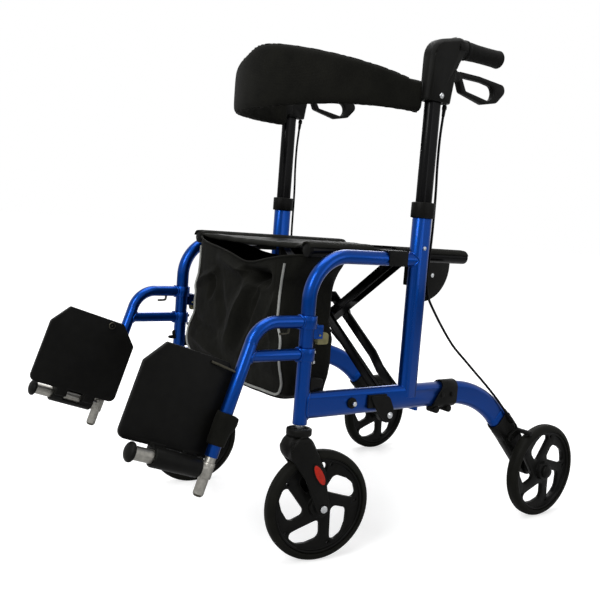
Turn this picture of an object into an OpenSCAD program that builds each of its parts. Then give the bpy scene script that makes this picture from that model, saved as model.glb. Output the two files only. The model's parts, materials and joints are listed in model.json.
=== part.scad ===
// Folding rollator that doubles as a transport chair.
// Front is -Y, +X is the sitter's left, +Z is up, and the floor is z = 0.

/* [Side frame] */
// Distance from the middle plane to each side frame
frame_x = 230; // [222:1:240]
// Outer diameter of the front hoop and upper rail tube
hoop_d = 25.4; // [24.4:0.2:27]
// Height of the lower end of the front upright
hoop_low_z = 248; // [245:1:252]
// Height of the upper rail's centre line
upper_z = 541; // [534:1:546]
// Centre-line radius of the hoop's bend
hoop_bend_r = 78; // [60:1:95]
// Height of the bottom rail's centre line
rail_z = 280; // [276:1:286]
// Height of the flat-oval bottom rail and rear leg
rail_h = 47; // [42:1:50]
// Width of the flat-oval bottom rail and rear leg
rail_w = 24; // [21:0.5:25]
// Distance from the front upright to the rear upright
upright_y = 250; // [244:1:258]
// Depth of the flat-oval rear upright, front to back
upright_l = 40; // [39:0.5:44]
// Width of the rear upright
upright_w = 28; // [27:0.5:30]
// Height of the rear upright's top end
upright_top_z = 634; // [624:1:645]
// Distance from the front upright to the end of the bottom rail
rail_end_y = 348; // [340:1:356]

/* [Rear leg and wheel] */
// Centre-line radius of the rear leg's bend
leg_bend_r = 220; // [200:1:240]
// Angle that the rear leg turns down
leg_turn = 42; // [38:1:45]
// Straight run between the clamp joint and the leg's bend
leg_lead = 18; // [12:1:24]
// Straight tail of the rear leg below its bend
leg_tail = 50; // [44:1:56]
// Distance from the rear leg's lower end back to the rear axle
axle_back = 81.6; // [78:0.2:86]
// Distance from the side frame to the middle of the rear wheel
rear_wheel_out = 42; // [40:1:46]
// Radius of all four wheels at the tread
wheel_r = 100; // [97:0.5:101]
// Width of the tyres
tyre_w = 28; // [25:1:31]
// Radial thickness of the tyres
tyre_t = 13; // [11:0.5:15]
// Diameter of the rear axle
rear_axle_d = 10; // [8:0.5:12]
// Rest gap between the brake shoe and the tread
shoe_gap = 1.5; // [1.4:0.1:2]

/* [Caster] */
// Distance from the swivel axis back to the front axle
trail = 46.5; // [42:0.5:50]
// Angle at which the casters stand
caster_turn = -10; // [-20:1:20]
// Diameter of the swivel stem
stem_d = 17; // [15:0.5:18]
// Length of stem inside the upright
stem_in = 70; // [50:1:80]
// Diameter of the bearing cup on the fork
cup_d = 45; // [42:0.5:48]
// Thickness of a fork leg
fork_t = 7; // [5:0.5:8]
// Diameter of the front axle bolt
front_axle_d = 8; // [6:0.5:9]

/* [Cross brace and seat] */
// Distance from the front uprights to the cross brace
brace_y = 245; // [242:1:250]
// Distance of the brace's lower pivots inside the side frames
pivot_in = 25; // [24:0.5:27]
// Height of the brace's lower pivots
pivot_z = 262; // [259:0.5:266]
// Diameter of the lower pivot pins
pivot_d = 10; // [8:0.5:11]
// Diameter of the pin at the brace's crossing
hub_d = 12; // [10:0.5:13]
// Distance from the middle plane to each seat rail
seat_rail_x = 194.5; // [193:0.5:196]
// Height of the seat rails' centre lines
seat_z = 548; // [546:0.5:551]
// Diameter of the seat rails
seat_rail_d = 25; // [23:0.5:26]
// Distance from the front uprights to the front end of the seat rails
seat_front_y = 14; // [10:1:30]
// Length of the seat rails
seat_l = 397; // [385:1:410]
// Sag of the seat cloth at its middle
seat_sag = 12; // [6:1:18]

/* [Handles] */
// Depth of the flat-oval handle tube
handle_l = 34; // [32:0.5:35]
// Width of the handle tube
handle_w = 22; // [20:0.5:23]
// Height of the handle tube's lower end
handle_low_z = 500; // [496:1:520]
// Height of the grips' centre lines
grip_z = 940; // [935:1:945]
// Distance from the grips' centre lines down to the housing's lower edge
housing_drop = 106; // [98:1:112]
// Diameter of the hand grips
grip_d = 33; // [30:0.5:35]
// Length of the hand grips
grip_l = 108; // [95:1:115]
// Diameter of the brake cables
cable_d = 5; // [4:0.5:6]

/* [Footrests] */
// Height of the hanger's upper tube
hanger_z = 427; // [423:1:432]
// Height of the hanger's lower strut
strut_z = 371; // [366:1:376]
// Diameter of the hanger tube
hanger_d = 22; // [21:0.5:23]
// Centre-line radius of the hanger's bend
hanger_bend_r = 50; // [40:1:55]
// Forward lean of the hanger's leg from the vertical
leg_lean = 18.5; // [16:0.5:20]
// Distance from the front upright forward to the footplate bar's root
bar_out = 180; // [175:1:186]
// Height of the footplate bar's root
bar_z = 189; // [184:1:196]
// Diameter of the telescoping leg extension
extension_d = 18; // [16:0.5:18.5]
// Diameter of the footplate bar
bar_d = 22; // [18:0.5:23]
// Distance from the leg to the centre of the bar's end cap
bar_l = 144; // [138:1:150]
// Radius of the bar's end cap
cap_r = 16; // [14:0.5:18]
// Length of the footplate along its bar
plate_l = 185; // [175:1:188]
// Width of the footplate from its bar to its free edge
plate_w = 160; // [140:1:170]
// Thickness of the footplate
plate_t = 10; // [8:0.5:12]

/* [Bag and backrest] */
// Half width of the bag
bag_a = 160; // [140:1:165]
// Depth of the bag at its mouth
bag_top = 140; // [110:1:150]
// Depth of the bag at its floor
bag_floor = 98; // [85:1:110]
// Height of the bag's floor
bag_z = 274; // [268:1:290]
// Height of the bag from floor to mouth
bag_h = 256; // [230:1:258]
// Forward reach of the backrest band from its ends
back_reach = 212; // [205:1:225]
// Height of the backrest band at its middle
back_mid_h = 109; // [100:1:114]
// Height of the backrest band at its ends
back_end_h = 50; // [44:1:58]
// Thickness of the backrest's padding
back_t = 20; // [14:1:24]

/* [Hidden] */
$fn = 48;

// Paint and material colours
blue = "#1f5fc4";
black = "#1b1b1c";
dark = "#2a2a2a";
silver = "#c4c7ca";
ivory = "#cfccb4";

// Fits: running clearance on a diameter, sliding clearance on a width, and a seat's clearance
run = 0.1;
slide = 0.4;
seat = 0.3;
// A cut starts this far outside what it cuts
past = 1;

// Side frame
upright_bore_z = 350;
ear_t = 6;
ear_r = 13;
ear_in = 33;
collar_wall = 4;
collar_h = 29;
collar_low_z = upright_top_z - 14;
clamp_wall = 4;
clamp_l = 62;
saddle_y = 187;
saddle_l = 46;
guard_r = 72;
guard_t = 10;
guard_y = upright_y + upright_l / 2 + 9;
guard_top_z = seat_z - seat_rail_d / 2 - 3.5;

// Rear leg's end, in front-to-back and height
leg_y = rail_end_y + leg_lead;
leg_arc_y = leg_y + leg_bend_r * sin(leg_turn);
leg_arc_z = rail_z - leg_bend_r * (1 - cos(leg_turn));
leg_end_y = leg_arc_y + leg_tail * cos(leg_turn);
leg_end_z = leg_arc_z - leg_tail * sin(leg_turn);
axle_y = leg_end_y + axle_back;
socket_wall = 4;
socket_l = 46;
boss_r = 20;
bracket_w = 26;
rear_wheel_x = frame_x + rear_wheel_out;
hub_half = tyre_w / 2 + 2;
hub_gap = 1;

// Brake shoe on the tread, and its arm's pivot a lever's length round the tyre
shoe_r = 5;
shoe_dir = 124;
shoe_arm = 25;
shoe_reach = wheel_r + shoe_gap + shoe_r;
shoe_y = axle_y + shoe_reach * cos(shoe_dir);
shoe_z = wheel_r + shoe_reach * sin(shoe_dir);
arm_y = shoe_y + shoe_arm * cos(shoe_dir + 90);
arm_z = shoe_z + shoe_arm * sin(shoe_dir + 90);
arm_x = frame_x + rail_w / 2 + socket_wall + 1;
arm_t = 6;
arm_pin_d = 8;

// Cable anchor on the rear bracket: out from the leg, above its centre line and along its tail
anchor_d = 9;
anchor_x = rail_w / 2 + socket_wall + 4;
anchor_n = 14;
anchor_s = 22;
anchor_y = leg_arc_y + anchor_s * cos(leg_turn) + anchor_n * sin(leg_turn);
anchor_z = leg_arc_z - anchor_s * sin(leg_turn) + anchor_n * cos(leg_turn);

// Wheels
rim_r = wheel_r - tyre_t;
rim_in_r = rim_r - 5;
rim_w = tyre_w - 6;
web_w = 10;
hub_r = 20;
spokes = 5;
first_window = 22;
// Circles round each window, as shares of the rim's radius: distance out, turn and radius
window_rounds = [
    [0.437, -25, 0.103], [0.599, -26.4, 0.138], [0.651, -42.7, 0.178], [0.732, -53.2, 0.161],
    [0.792, -61.7, 0.098]
];

// Caster, about its swivel axis
fork_gap = 4;
leg_in = tyre_w / 2 + fork_gap;
leg_out = leg_in + fork_t;
stem_low_z = 2 * wheel_r + 10;
cup_top_z = hoop_low_z - 7;
cup_low_z = cup_top_z - 12;
bulge_r = 23;
bulge_y = -8;
bulge_z = 210;
fork_end_r = 13;
fork_mid_r = 20;
fork_top_r = 25;
fork_slope = 0.46;
bolt_head_r = 6.5;
bolt_head_t = 4;

// Cross brace
pivot_x = frame_x - pivot_in;
arm_angle = atan2(seat_z - pivot_z, pivot_x + seat_rail_x);
arm_l = norm([seat_z - pivot_z, pivot_x + seat_rail_x]);
hub_s = pivot_x / cos(arm_angle);
hub_z = pivot_z + hub_s * sin(arm_angle);
bar_w = 20;
bar_t = 8;
front_bar = -23;
rear_bar_low = 21;
rear_bar_high = 29;
channel_w = 26;
channel_wall = 3;
splice_s = hub_s + 46;
splice_l = 14;
arm_tube_d = 20;
arm_tube_l = 2 * ear_in - 1;

// Handles, about the rear upright
grip_y = upright_y + 66;
grip_bore_d = 24;
housing_front_y = upright_y - 28;
housing_rear_y = upright_y + 38;
housing_w = 32;
lever_y = upright_y + 47;
lever_z = grip_z - 53;
lever_t = 14;
lever_gap = 0.6;
lever_pin_d = 6;
cheek_t = 5;
back_in = 14;
bag_t = 4;
back_gap = 1;
housing_z = grip_z - housing_drop;
socket_h = 46;
back_low_z = housing_z - 22;
back_run_in = 16;
back_dip = 12;

// Footrests, in the leg's own frame: z runs up the leg and -y forward along the bar
bar_y = -bar_out;
bend_y = bar_y + (hanger_z - bar_z) * tan(leg_lean);
hanger_turn = 90 - leg_lean;
bend_t = hanger_bend_r * tan(hanger_turn / 2);
bend_end_s = (hanger_z - bar_z) / cos(leg_lean) - bend_t;
strut_y = bar_y + (strut_z - bar_z) * tan(leg_lean);
leg_low_s = 22;
ring_wall = 4;
ring_h = 22;
extension_low_s = -44;
extension_top_s = 112;
plate_off = hanger_d / 2 + 3;
plate_low_s = plate_off;
plate_rear = 22;
plate_cut = 38;
barrel_d = bar_d + 10;
barrel_y0 = 16;
barrel_y1 = 104;
barrel_gap0 = 44;
barrel_gap1 = 80;
cuff_s = 42;
cuff_l = 54;
cuff_t = 2.4;
cuff_shift = 3;
latch_y = hoop_d / 2 + ring_wall + 6;
latch_z = hanger_z - ring_h / 2 - 12;
latch_t = 10;
latch_pin_d = 4;

// The frame's origin is under the middle of the whole chair
front_reach = bar_y - bar_l * cos(leg_lean) - cap_r;
mid_y = (axle_y + wheel_r + front_reach) / 2;

// Hand-chosen points of the left brake cable, from the handle housing to the rear bracket
handle_h = housing_z - upright_top_z;
cable_route = [
    [frame_x, upright_y + 32, housing_z - 1], [frame_x, upright_y + 30, upright_top_z + 0.88 * handle_h],
    [frame_x, upright_y + 27, upright_top_z + 0.68 * handle_h],
    [frame_x, upright_y + 27, upright_top_z + 0.43 * handle_h],
    [frame_x, upright_y + 29, upright_top_z + 0.23 * handle_h],
    [frame_x, upright_y + 30, upright_top_z + 6],
    [frame_x, upright_y + 30, 600], [frame_x - 1, upright_y + 30, 560], [frame_x - 4, upright_y + 31, 525],
    [frame_x - 8, upright_y + 36, 495], [frame_x - 11, upright_y + 47, 468],
    [frame_x - 10, upright_y + 68, 438], [frame_x - 9, upright_y + 95, 405],
    [frame_x - 7, upright_y + 125, 372], [frame_x - 4, upright_y + 158, 344],
    [frame_x, upright_y + 192, 315], [frame_x + 4, anchor_y - 65, anchor_z + 68],
    [frame_x + 12, anchor_y - 38, anchor_z + 40], [frame_x + 17, anchor_y - 16, anchor_z + 16],
    [frame_x + anchor_x, anchor_y - 1, anchor_z + 1]
];

// Flat-oval section, long along y
module oval(l, w) {
    square([w, l - w], center = true);
    for (s = [-1, 1]) translate([0, s * (l - w) / 2]) circle(d = w);
}

// Round bar along y, x or z
module bar_along_y(d, x, y0, y1, z) {
    translate([x, y0, z]) rotate([-90, 0, 0]) cylinder(d = d, h = y1 - y0);
}
module bar_along_x(d, x0, x1, y, z) {
    translate([x0, y, z]) rotate([0, 90, 0]) cylinder(d = d, h = x1 - x0);
}

// Arc in the side view: angles run from rearward towards up, children are the section at radius zero
module side_arc(x, y, z, r, from, turn) {
    translate([x, y, z]) rotate([90, 0, 90]) rotate(from)
        rotate_extrude(angle = turn) translate([r, 0]) children();
}

// Side-view outline given a width along x, centred on x
module side_slab(x, w) {
    translate([x - w / 2, 0, 0]) rotate([90, 0, 90]) linear_extrude(w) children();
}

// Disc across x with chamfered rims
module soft_disc(x, y, z, r, w, chamfer) {
    bar_along_x(2 * r, x - w / 2 + chamfer, x + w / 2 - chamfer, y, z, $fn = 32);
    bar_along_x(2 * (r - chamfer), x - w / 2, x + w / 2, y, z, $fn = 32);
}

// Closed skin over a list of rings that have equally many points
module skin(rings) {
    n = len(rings[0]);
    last = (len(rings) - 1) * n;
    walls = [
        for (k = [0 : len(rings) - 2], i = [0 : n - 1])
            each [
                [k * n + i, k * n + (i + 1) % n, (k + 1) * n + i],
                [k * n + (i + 1) % n, (k + 1) * n + (i + 1) % n, (k + 1) * n + i]
            ]
    ];
    start = [for (i = [1 : n - 2]) [0, i + 1, i]];
    finish = [for (i = [1 : n - 2]) [last, last + i, last + i + 1]];
    polyhedron([for (r = rings) each r], concat(start, walls, finish));
}

// Smooth curve through hand-chosen points, with steps points on each stretch
function curve_point(p, k, t) =
    let (a = p[max(k - 1, 0)], b = p[k], c = p[k + 1], d = p[min(k + 2, len(p) - 1)])
    0.5 * (2 * b + (c - a) * t + (2 * a - 5 * b + 4 * c - d) * t ^ 2 + (3 * b - a - 3 * c + d) * t ^ 3);
function curve(p, steps) = [
    for (k = [0 : len(p) - 2], i = [0 : steps - 1]) curve_point(p, k, i / steps),
    p[len(p) - 1]
];
function unit(v) = v / norm(v);
function cord_ring(p, k, d, sides) =
    let (
        along = unit(p[min(k + 1, len(p) - 1)] - p[max(k - 1, 0)]),
        side = unit(cross(along, [1, 0, 0])),
        other = cross(along, side)
    )
    [for (i = [0 : sides - 1]) p[k] + d / 2 * (cos(360 * i / sides) * side + sin(360 * i / sides) * other)];

// Everything about the origin under the chair's middle
module place() {
    translate([0, -mid_y, 0]) children();
}
module place_right() {
    place() mirror([1, 0, 0]) children();
}

module side_frame() {
    color(blue) difference() {
        union() {
            translate([frame_x, 0, hoop_low_z]) cylinder(d = hoop_d, h = upper_z - hoop_bend_r - hoop_low_z);
            side_arc(frame_x, hoop_bend_r, upper_z - hoop_bend_r, hoop_bend_r, 90, 90) circle(d = hoop_d);
            bar_along_y(hoop_d, frame_x, hoop_bend_r, upright_y, upper_z);
            translate([frame_x, 0, rail_z]) rotate([-90, 0, 0])
                linear_extrude(rail_end_y) oval(rail_h, rail_w);
            translate([frame_x, upright_y, rail_z])
                linear_extrude(upright_top_z - rail_z) oval(upright_l, upright_w);
            for (s = [-1, 1]) brace_ear(brace_y + s * (ear_in + ear_t / 2));
        }
        translate([frame_x, upright_y, upright_bore_z])
            linear_extrude(upright_top_z - upright_bore_z + past) oval(handle_l + slide, handle_w + slide);
        translate([frame_x, 0, hoop_low_z - past]) cylinder(d = stem_d + run, h = stem_in + seat + past);
        bar_along_y(pivot_d + run, pivot_x, brace_y - ear_in - ear_t - past,
            brace_y + ear_in + ear_t + past, pivot_z);
    }
}
module brace_ear(y) {
    bar_along_y(2 * ear_r, pivot_x, y - ear_t / 2, y + ear_t / 2, pivot_z);
    translate([pivot_x, y - ear_t / 2, pivot_z - ear_r]) cube([frame_x - pivot_x, ear_t, 2 * ear_r]);
}

module leg_tail_frame() {
    translate([frame_x, leg_arc_y, leg_arc_z]) rotate([-90 - leg_turn, 0, 0]) children();
}
module rear_leg() {
    color(blue) {
        translate([frame_x, rail_end_y, rail_z]) rotate([-90, 0, 0])
            linear_extrude(leg_lead) oval(rail_h, rail_w);
        side_arc(frame_x, leg_y, rail_z - leg_bend_r, leg_bend_r, 90 - leg_turn - 0.8, leg_turn + 1.6)
            rotate(90) oval(rail_h - run, rail_w - run);
        leg_tail_frame() linear_extrude(leg_tail) oval(rail_h, rail_w);
    }
}
module leg_clamp() {
    lug_z = rail_z - rail_h / 2 - clamp_wall - 3;
    color(dark) difference() {
        union() {
            translate([frame_x, rail_end_y - clamp_l * 0.55, rail_z]) rotate([-90, 0, 0])
                linear_extrude(clamp_l) oval(rail_h + 2 * clamp_wall, rail_w + 2 * clamp_wall);
            for (y = [rail_end_y - 22, rail_end_y + 12])
                bar_along_x(14, frame_x - rail_w / 2, frame_x + rail_w / 2, y, lug_z);
        }
        translate([frame_x, rail_end_y - clamp_l, rail_z]) rotate([-90, 0, 0])
            linear_extrude(2 * clamp_l) oval(rail_h + seat, rail_w + seat);
    }
}
module upright_collar() {
    color(black) difference() {
        translate([frame_x, upright_y, collar_low_z]) linear_extrude(collar_h)
            oval(upright_l + 2 * collar_wall, upright_w + 2 * collar_wall);
        translate([frame_x, upright_y, collar_low_z - past])
            linear_extrude(upright_top_z - collar_low_z + past) oval(upright_l + seat, upright_w + seat);
        translate([frame_x, upright_y, collar_low_z]) linear_extrude(collar_h + past)
            oval(handle_l + slide, handle_w + slide);
    }
}
module frame_clips() {
    seat_slot = seat_rail_d + 2 * slide;
    low_z = upper_z - hoop_d / 2;
    block_l = 44;
    block_t = 5;
    color(dark) {
        difference() {
            translate([seat_rail_x - seat_rail_d / 2 + 3, saddle_y - saddle_l / 2, low_z])
                cube([frame_x + hoop_d / 2 + 2 - seat_rail_x + seat_rail_d / 2 - 3, saddle_l, hoop_d + 3]);
            bar_along_y(hoop_d + seat, frame_x, saddle_y - saddle_l, saddle_y + saddle_l, upper_z);
            translate([frame_x - hoop_d / 2 - seat / 2, saddle_y - saddle_l, low_z - past])
                cube([hoop_d + seat, 2 * saddle_l, hoop_d / 2 + past]);
            bar_along_y(seat_slot, seat_rail_x, saddle_y - saddle_l, saddle_y + saddle_l, seat_z);
            translate([seat_rail_x - seat_slot / 2, saddle_y - saddle_l, seat_z])
                cube([seat_slot, 2 * saddle_l, seat_rail_d]);
        }
        translate([frame_x + rail_w / 2, 141, rail_z - 12]) cube([block_t, block_l, 24]);
    }
}
module frame_bolts() {
    rail_side = frame_x + rail_w / 2;
    axle_in = frame_x - bracket_w / 2 - 6;
    axle_out = rear_wheel_x + hub_half + 7;
    color(silver) {
        bar_along_x(20, rail_side, rail_side + 3, 104, rail_z);
        bar_along_x(11, rail_side + 3, rail_side + 7, 104, rail_z);
        bar_along_y(pivot_d, pivot_x, brace_y - ear_in - ear_t - 5, brace_y + ear_in + ear_t + 5, pivot_z);
        bar_along_x(rear_axle_d, axle_in, axle_out, axle_y, wheel_r);
        bar_along_x(16, axle_out - 6, axle_out, axle_y, wheel_r);
        bar_along_x(16, axle_in, axle_in + 6 - seat, axle_y, wheel_r);
        bar_along_x(10, frame_x - upright_w / 2 - guard_t - 3, frame_x - upright_w / 2 - guard_t,
            guard_y + 26, guard_top_z - 22);
        for (y = [rail_end_y - 16, rail_end_y + 12])
            bar_along_x(9, rail_side + clamp_wall, rail_side + clamp_wall + 3, y, rail_z);
    }
}
module cable_guard() {
    inner = frame_x - upright_w / 2 - guard_t;
    color(dark) translate([inner, 0, 0]) rotate([90, 0, 90]) linear_extrude(guard_t) {
        intersection() {
            translate([guard_y, guard_top_z]) circle(r = guard_r);
            translate([guard_y, guard_top_z - guard_r]) square([guard_r, guard_r]);
        }
        translate([upright_y - 12, guard_top_z - 40]) square([guard_y - upright_y + 13, 40]);
    }
}

module seat_rail() {
    r = seat_rail_d / 2;
    color(dark) translate([seat_rail_x, seat_front_y, seat_z]) rotate([-90, 0, 0]) rotate_extrude() {
        translate([0, r / 2]) square([r, seat_l - r]);
        square([r / 2, seat_l]);
        for (y = [r / 2, seat_l - r / 2]) translate([r / 2, y]) circle(r = r / 2);
    }
}
// Frame along an arm of the brace, from its lower pivot: z runs up the arm and y front to back
module arm_frame() {
    translate([pivot_x, brace_y, pivot_z]) rotate([0, arm_angle - 90, 0]) children();
}
module arm_channel(from) {
    difference() {
        translate([-bar_w / 2, -channel_w / 2, from]) cube([bar_w, channel_w, arm_l - from]);
        translate([-bar_w / 2 - past, -channel_w / 2 + channel_wall, hub_s + 70])
            cube([bar_w - channel_wall + past, channel_w - 2 * channel_wall, arm_l - hub_s - 90]);
    }
}
module arm_foot() {
    rotate([-90, 0, 0]) translate([0, 0, -arm_tube_l / 2]) cylinder(d = arm_tube_d, h = arm_tube_l);
}
module arm_bores(reach) {
    rotate([-90, 0, 0]) translate([0, 0, -reach]) cylinder(d = pivot_d + run, h = 2 * reach);
    translate([0, 0, hub_s]) rotate([-90, 0, 0]) translate([0, 0, -reach])
        cylinder(d = hub_d + run, h = 2 * reach);
    translate([0, 0, arm_l]) rotate([-90, 0, 0]) translate([0, 0, -reach])
        cylinder(d = seat_rail_d + 0.1, h = 2 * reach);
}
// Arm from the left frame's foot up to the right seat rail, forked below the crossing
module cross_arm_a() {
    top = splice_s + splice_l;
    color(black) arm_frame() difference() {
        union() {
            arm_foot();
            translate([-bar_w / 2, front_bar - bar_t / 2, 0]) cube([bar_w, bar_t, top]);
            translate([-bar_w / 2, 0, 0]) rotate([90, 0, 90]) linear_extrude(bar_w) polygon([
                [rear_bar_low - bar_t / 2, 0], [rear_bar_low + bar_t / 2, 0],
                [rear_bar_low + bar_t / 2, 90], [rear_bar_high + bar_t / 2, 130],
                [rear_bar_high + bar_t / 2, top], [rear_bar_high - bar_t / 2, top],
                [rear_bar_high - bar_t / 2, 130], [rear_bar_low - bar_t / 2, 90]
            ]);
            translate([-bar_w / 2, front_bar, splice_s]) cube([bar_w, rear_bar_high - front_bar, splice_l]);
            arm_channel(splice_s);
        }
        arm_bores(60);
    }
}
// Arm from the right frame's foot up to the left seat rail, one channel that runs inside the fork
module cross_arm_b() {
    color(black) mirror([1, 0, 0]) arm_frame() difference() {
        union() {
            arm_foot();
            arm_channel(0);
        }
        arm_bores(60);
    }
}
module brace_pivot() {
    y0 = brace_y + front_bar - bar_t / 2;
    y1 = brace_y + rear_bar_high + bar_t / 2;
    color(silver) {
        bar_along_y(hub_d, 0, y0 - 4, y1 + 4, hub_z);
        bar_along_y(20, 0, y0 - 4, y0, hub_z);
        bar_along_y(20, 0, y1, y1 + 4, hub_z);
    }
}
// Point at a turn round the left seat rail, in x and height
function rail_point(r, turn) = [seat_rail_x + r * cos(turn), seat_z + r * sin(turn)];
function flip_x(points) = [for (i = [len(points) - 1 : -1 : 0]) [-points[i][0], points[i][1]]];
module seat_sling() {
    thick = 3;
    inset = 14;
    steps = 12;
    under = seat_rail_d / 2 + seat;
    over = under + thick;
    over_wrap = [for (a = [150 : -15 : 75]) rail_point(over, a)];
    under_wrap = [for (a = [75 : 15 : 150]) rail_point(under, a)];
    half = over_wrap[0][0];
    top = over_wrap[0][1];
    span = [for (i = [1 - steps : steps - 1]) i / steps];
    upper = [for (t = span) [half * t, top - seat_sag * (1 - t ^ 2)]];
    lower = [for (i = [len(span) - 1 : -1 : 0]) upper[i] - [0, thick]];
    color(dark) translate([0, seat_front_y + seat_l - inset, 0]) rotate([90, 0, 0])
        linear_extrude(seat_l - 2 * inset)
            polygon(concat(flip_x(over_wrap), upper, over_wrap, under_wrap, lower, flip_x(under_wrap)));
}

module handle_tube() {
    top = housing_z + socket_h;
    color(black) translate([frame_x, upright_y, handle_low_z]) linear_extrude(top - handle_low_z)
        oval(handle_l, handle_w);
}
module handle_housing() {
    mid_y = (housing_front_y + housing_rear_y) / 2;
    elbow_r = 36;
    neck_r = 18;
    slot = lever_t + lever_gap;
    cheek = slot + 2 * cheek_t;
    color(black) {
        difference() {
            union() {
                hull() {
                    translate([frame_x, mid_y, housing_z]) linear_extrude(5)
                        oval(housing_rear_y - housing_front_y, housing_w, $fn = 32);
                    soft_disc(frame_x, housing_front_y + elbow_r + 3, grip_z - 27, elbow_r, housing_w, 7);
                    soft_disc(frame_x, housing_rear_y - 20, grip_z - 40, 20, housing_w, 7);
                }
                hull() {
                    soft_disc(frame_x, housing_front_y + elbow_r + 3, grip_z - 27, elbow_r, housing_w, 7);
                    soft_disc(frame_x, grip_y - 18, grip_z, neck_r, housing_w, 7);
                }
                bar_along_y(2 * neck_r, frame_x, grip_y - 24, grip_y, grip_z);
                translate([frame_x - back_in - back_t / 2, housing_front_y - back_gap / 2, housing_z + 3])
                    cube([back_t, 20, back_end_h - 28]);
                bar_along_y(grip_bore_d, frame_x, grip_y - 24, grip_y + grip_l - 8, grip_z);
                hull() {
                    bar_along_x(28, frame_x - cheek / 2, frame_x + cheek / 2, upright_y + 22, lever_z,
                        $fn = 32);
                    bar_along_x(19, frame_x - cheek / 2, frame_x + cheek / 2, lever_y, lever_z, $fn = 32);
                }
            }
            translate([frame_x, upright_y, housing_z - past]) linear_extrude(socket_h + past + seat)
                oval(handle_l + seat, handle_w + seat);
            translate([frame_x - slot / 2, lever_y - 12, lever_z - 26]) cube([slot, 40, 40]);
        }
        bar_along_x(lever_pin_d, frame_x - cheek / 2, frame_x + cheek / 2, lever_y, lever_z);
    }
}
module hand_grip() {
    r = grip_d / 2;
    lip = 2;
    round_r = 6;
    color(dark) translate([frame_x, grip_y, grip_z]) rotate([-90, 0, 0]) difference() {
        rotate_extrude() {
            square([r - round_r, grip_l]);
            square([r, grip_l - round_r]);
            translate([r - round_r, grip_l - round_r]) circle(r = round_r);
            square([r + lip, 5]);
        }
        translate([0, 0, -past]) cylinder(d = grip_bore_d + run, h = grip_l - 8 + past + seat);
    }
}
// Closed-loop brake lever, as circles at the corners of its outer and inner outlines
module brake_lever() {
    outer = [
        [lever_y + 15, lever_z + 3, 9], [lever_y + 68, lever_z + 4, 8], [lever_y + 130, lever_z - 5, 12],
        [lever_y + 115, lever_z - 19, 13], [lever_y + 82, lever_z - 30, 9], [lever_y + 25, lever_z - 19, 8]
    ];
    inner = [
        [lever_y + 22, lever_z, 2], [lever_y + 75, lever_z - 2, 4], [lever_y + 96, lever_z - 15, 14.5],
        [lever_y + 34, lever_z - 18, 3]
    ];
    color(black) side_slab(frame_x, lever_t) difference() {
        union() {
            translate([lever_y, lever_z]) circle(r = 9);
            translate([lever_y, lever_z - 7]) square([20, 14]);
            hull() for (c = outer) translate([c[0], c[1]]) circle(r = c[2], $fn = 32);
        }
        hull() for (c = inner) translate([c[0], c[1]]) circle(r = c[2], $fn = 32);
        translate([lever_y, lever_z]) circle(d = lever_pin_d + run);
    }
}
module brake_cable() {
    path = curve(cable_route, 2);
    color(black) skin([for (k = [0 : len(path) - 1]) cord_ring(path, k, cable_d, 8)]);
}

// Caster pieces stand at the foot of the front upright, turned about its axis
module caster_frame(turn) {
    translate([frame_x, 0, 0]) rotate(turn) children();
}
// Side outline of the fork: crown, blade and axle end in one sweep
module fork_outline() {
    hull() {
        translate([1, wheel_r + 105]) circle(r = fork_top_r, $fn = 48);
        translate([trail - 19.5, wheel_r + 63]) circle(r = fork_mid_r, $fn = 48);
    }
    hull() {
        translate([trail - 19.5, wheel_r + 63]) circle(r = fork_mid_r, $fn = 48);
        translate([trail, wheel_r]) circle(r = fork_end_r, $fn = 48);
    }
}
module caster_fork(turn) {
    foot_r = cup_d / 2 + 1 + fork_slope * cup_low_z;
    color(black) caster_frame(turn) difference() {
        union() {
            translate([0, 0, cup_low_z]) cylinder(d = cup_d, h = cup_top_z - cup_low_z);
            intersection() {
                union() {
                    side_slab(0, 2 * leg_out) fork_outline();
                    translate([0, bulge_y, bulge_z]) sphere(r = bulge_r);
                }
                cylinder(r1 = foot_r, r2 = cup_d / 2 + 1, h = cup_low_z);
            }
        }
        bar_along_x(2 * (wheel_r + fork_gap), -leg_in, leg_in, trail, wheel_r);
        bar_along_x(front_axle_d + run, -leg_out - past, leg_out + past, trail, wheel_r);
        translate([0, 0, stem_low_z]) cylinder(d = stem_d + seat, h = 80);
    }
}
module caster_bolts(turn) {
    head_x = leg_out + bolt_head_t;
    color(silver) caster_frame(turn) {
        translate([0, 0, stem_low_z]) cylinder(d = stem_d, h = hoop_low_z + stem_in - stem_low_z);
        bar_along_x(front_axle_d, -head_x, head_x, trail, wheel_r);
        for (s = [-1, 1])
            bar_along_x(2 * bolt_head_r, s * (leg_out + head_x) / 2 - bolt_head_t / 2,
                s * (leg_out + head_x) / 2 + bolt_head_t / 2, trail, wheel_r);
    }
}
module fork_reflector(turn) {
    color("#c8321e") caster_frame(turn) side_slab(leg_out + 1, 2)
        translate([trail - 12.5, wheel_r + 62]) rotate(30) oval(43, 19);
}
module wheel(x, y, bore) {
    color(black) translate([x, y, wheel_r]) rotate([0, 90, 0]) difference() {
        union() {
            translate([0, 0, -rim_w / 2]) cylinder(r = rim_r, h = rim_w);
            translate([0, 0, -hub_half]) cylinder(r = hub_r, h = 2 * hub_half);
        }
        for (s = [0, 1]) mirror([0, 0, s]) translate([0, 0, web_w / 2]) difference() {
            cylinder(r = rim_in_r, h = rim_w);
            translate([0, 0, -past]) cylinder(r = hub_r, h = rim_w + 2 * past);
        }
        for (k = [0 : spokes - 1]) rotate(first_window + k * 360 / spokes) {
            wheel_window();
            rotate(-2) translate([0.87 * rim_r, 0, -rim_w]) cylinder(d = 5, h = 2 * rim_w);
        }
        translate([0, 0, -hub_half - past]) cylinder(d = bore + run, h = 2 * hub_half + 2 * past);
    }
}
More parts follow.
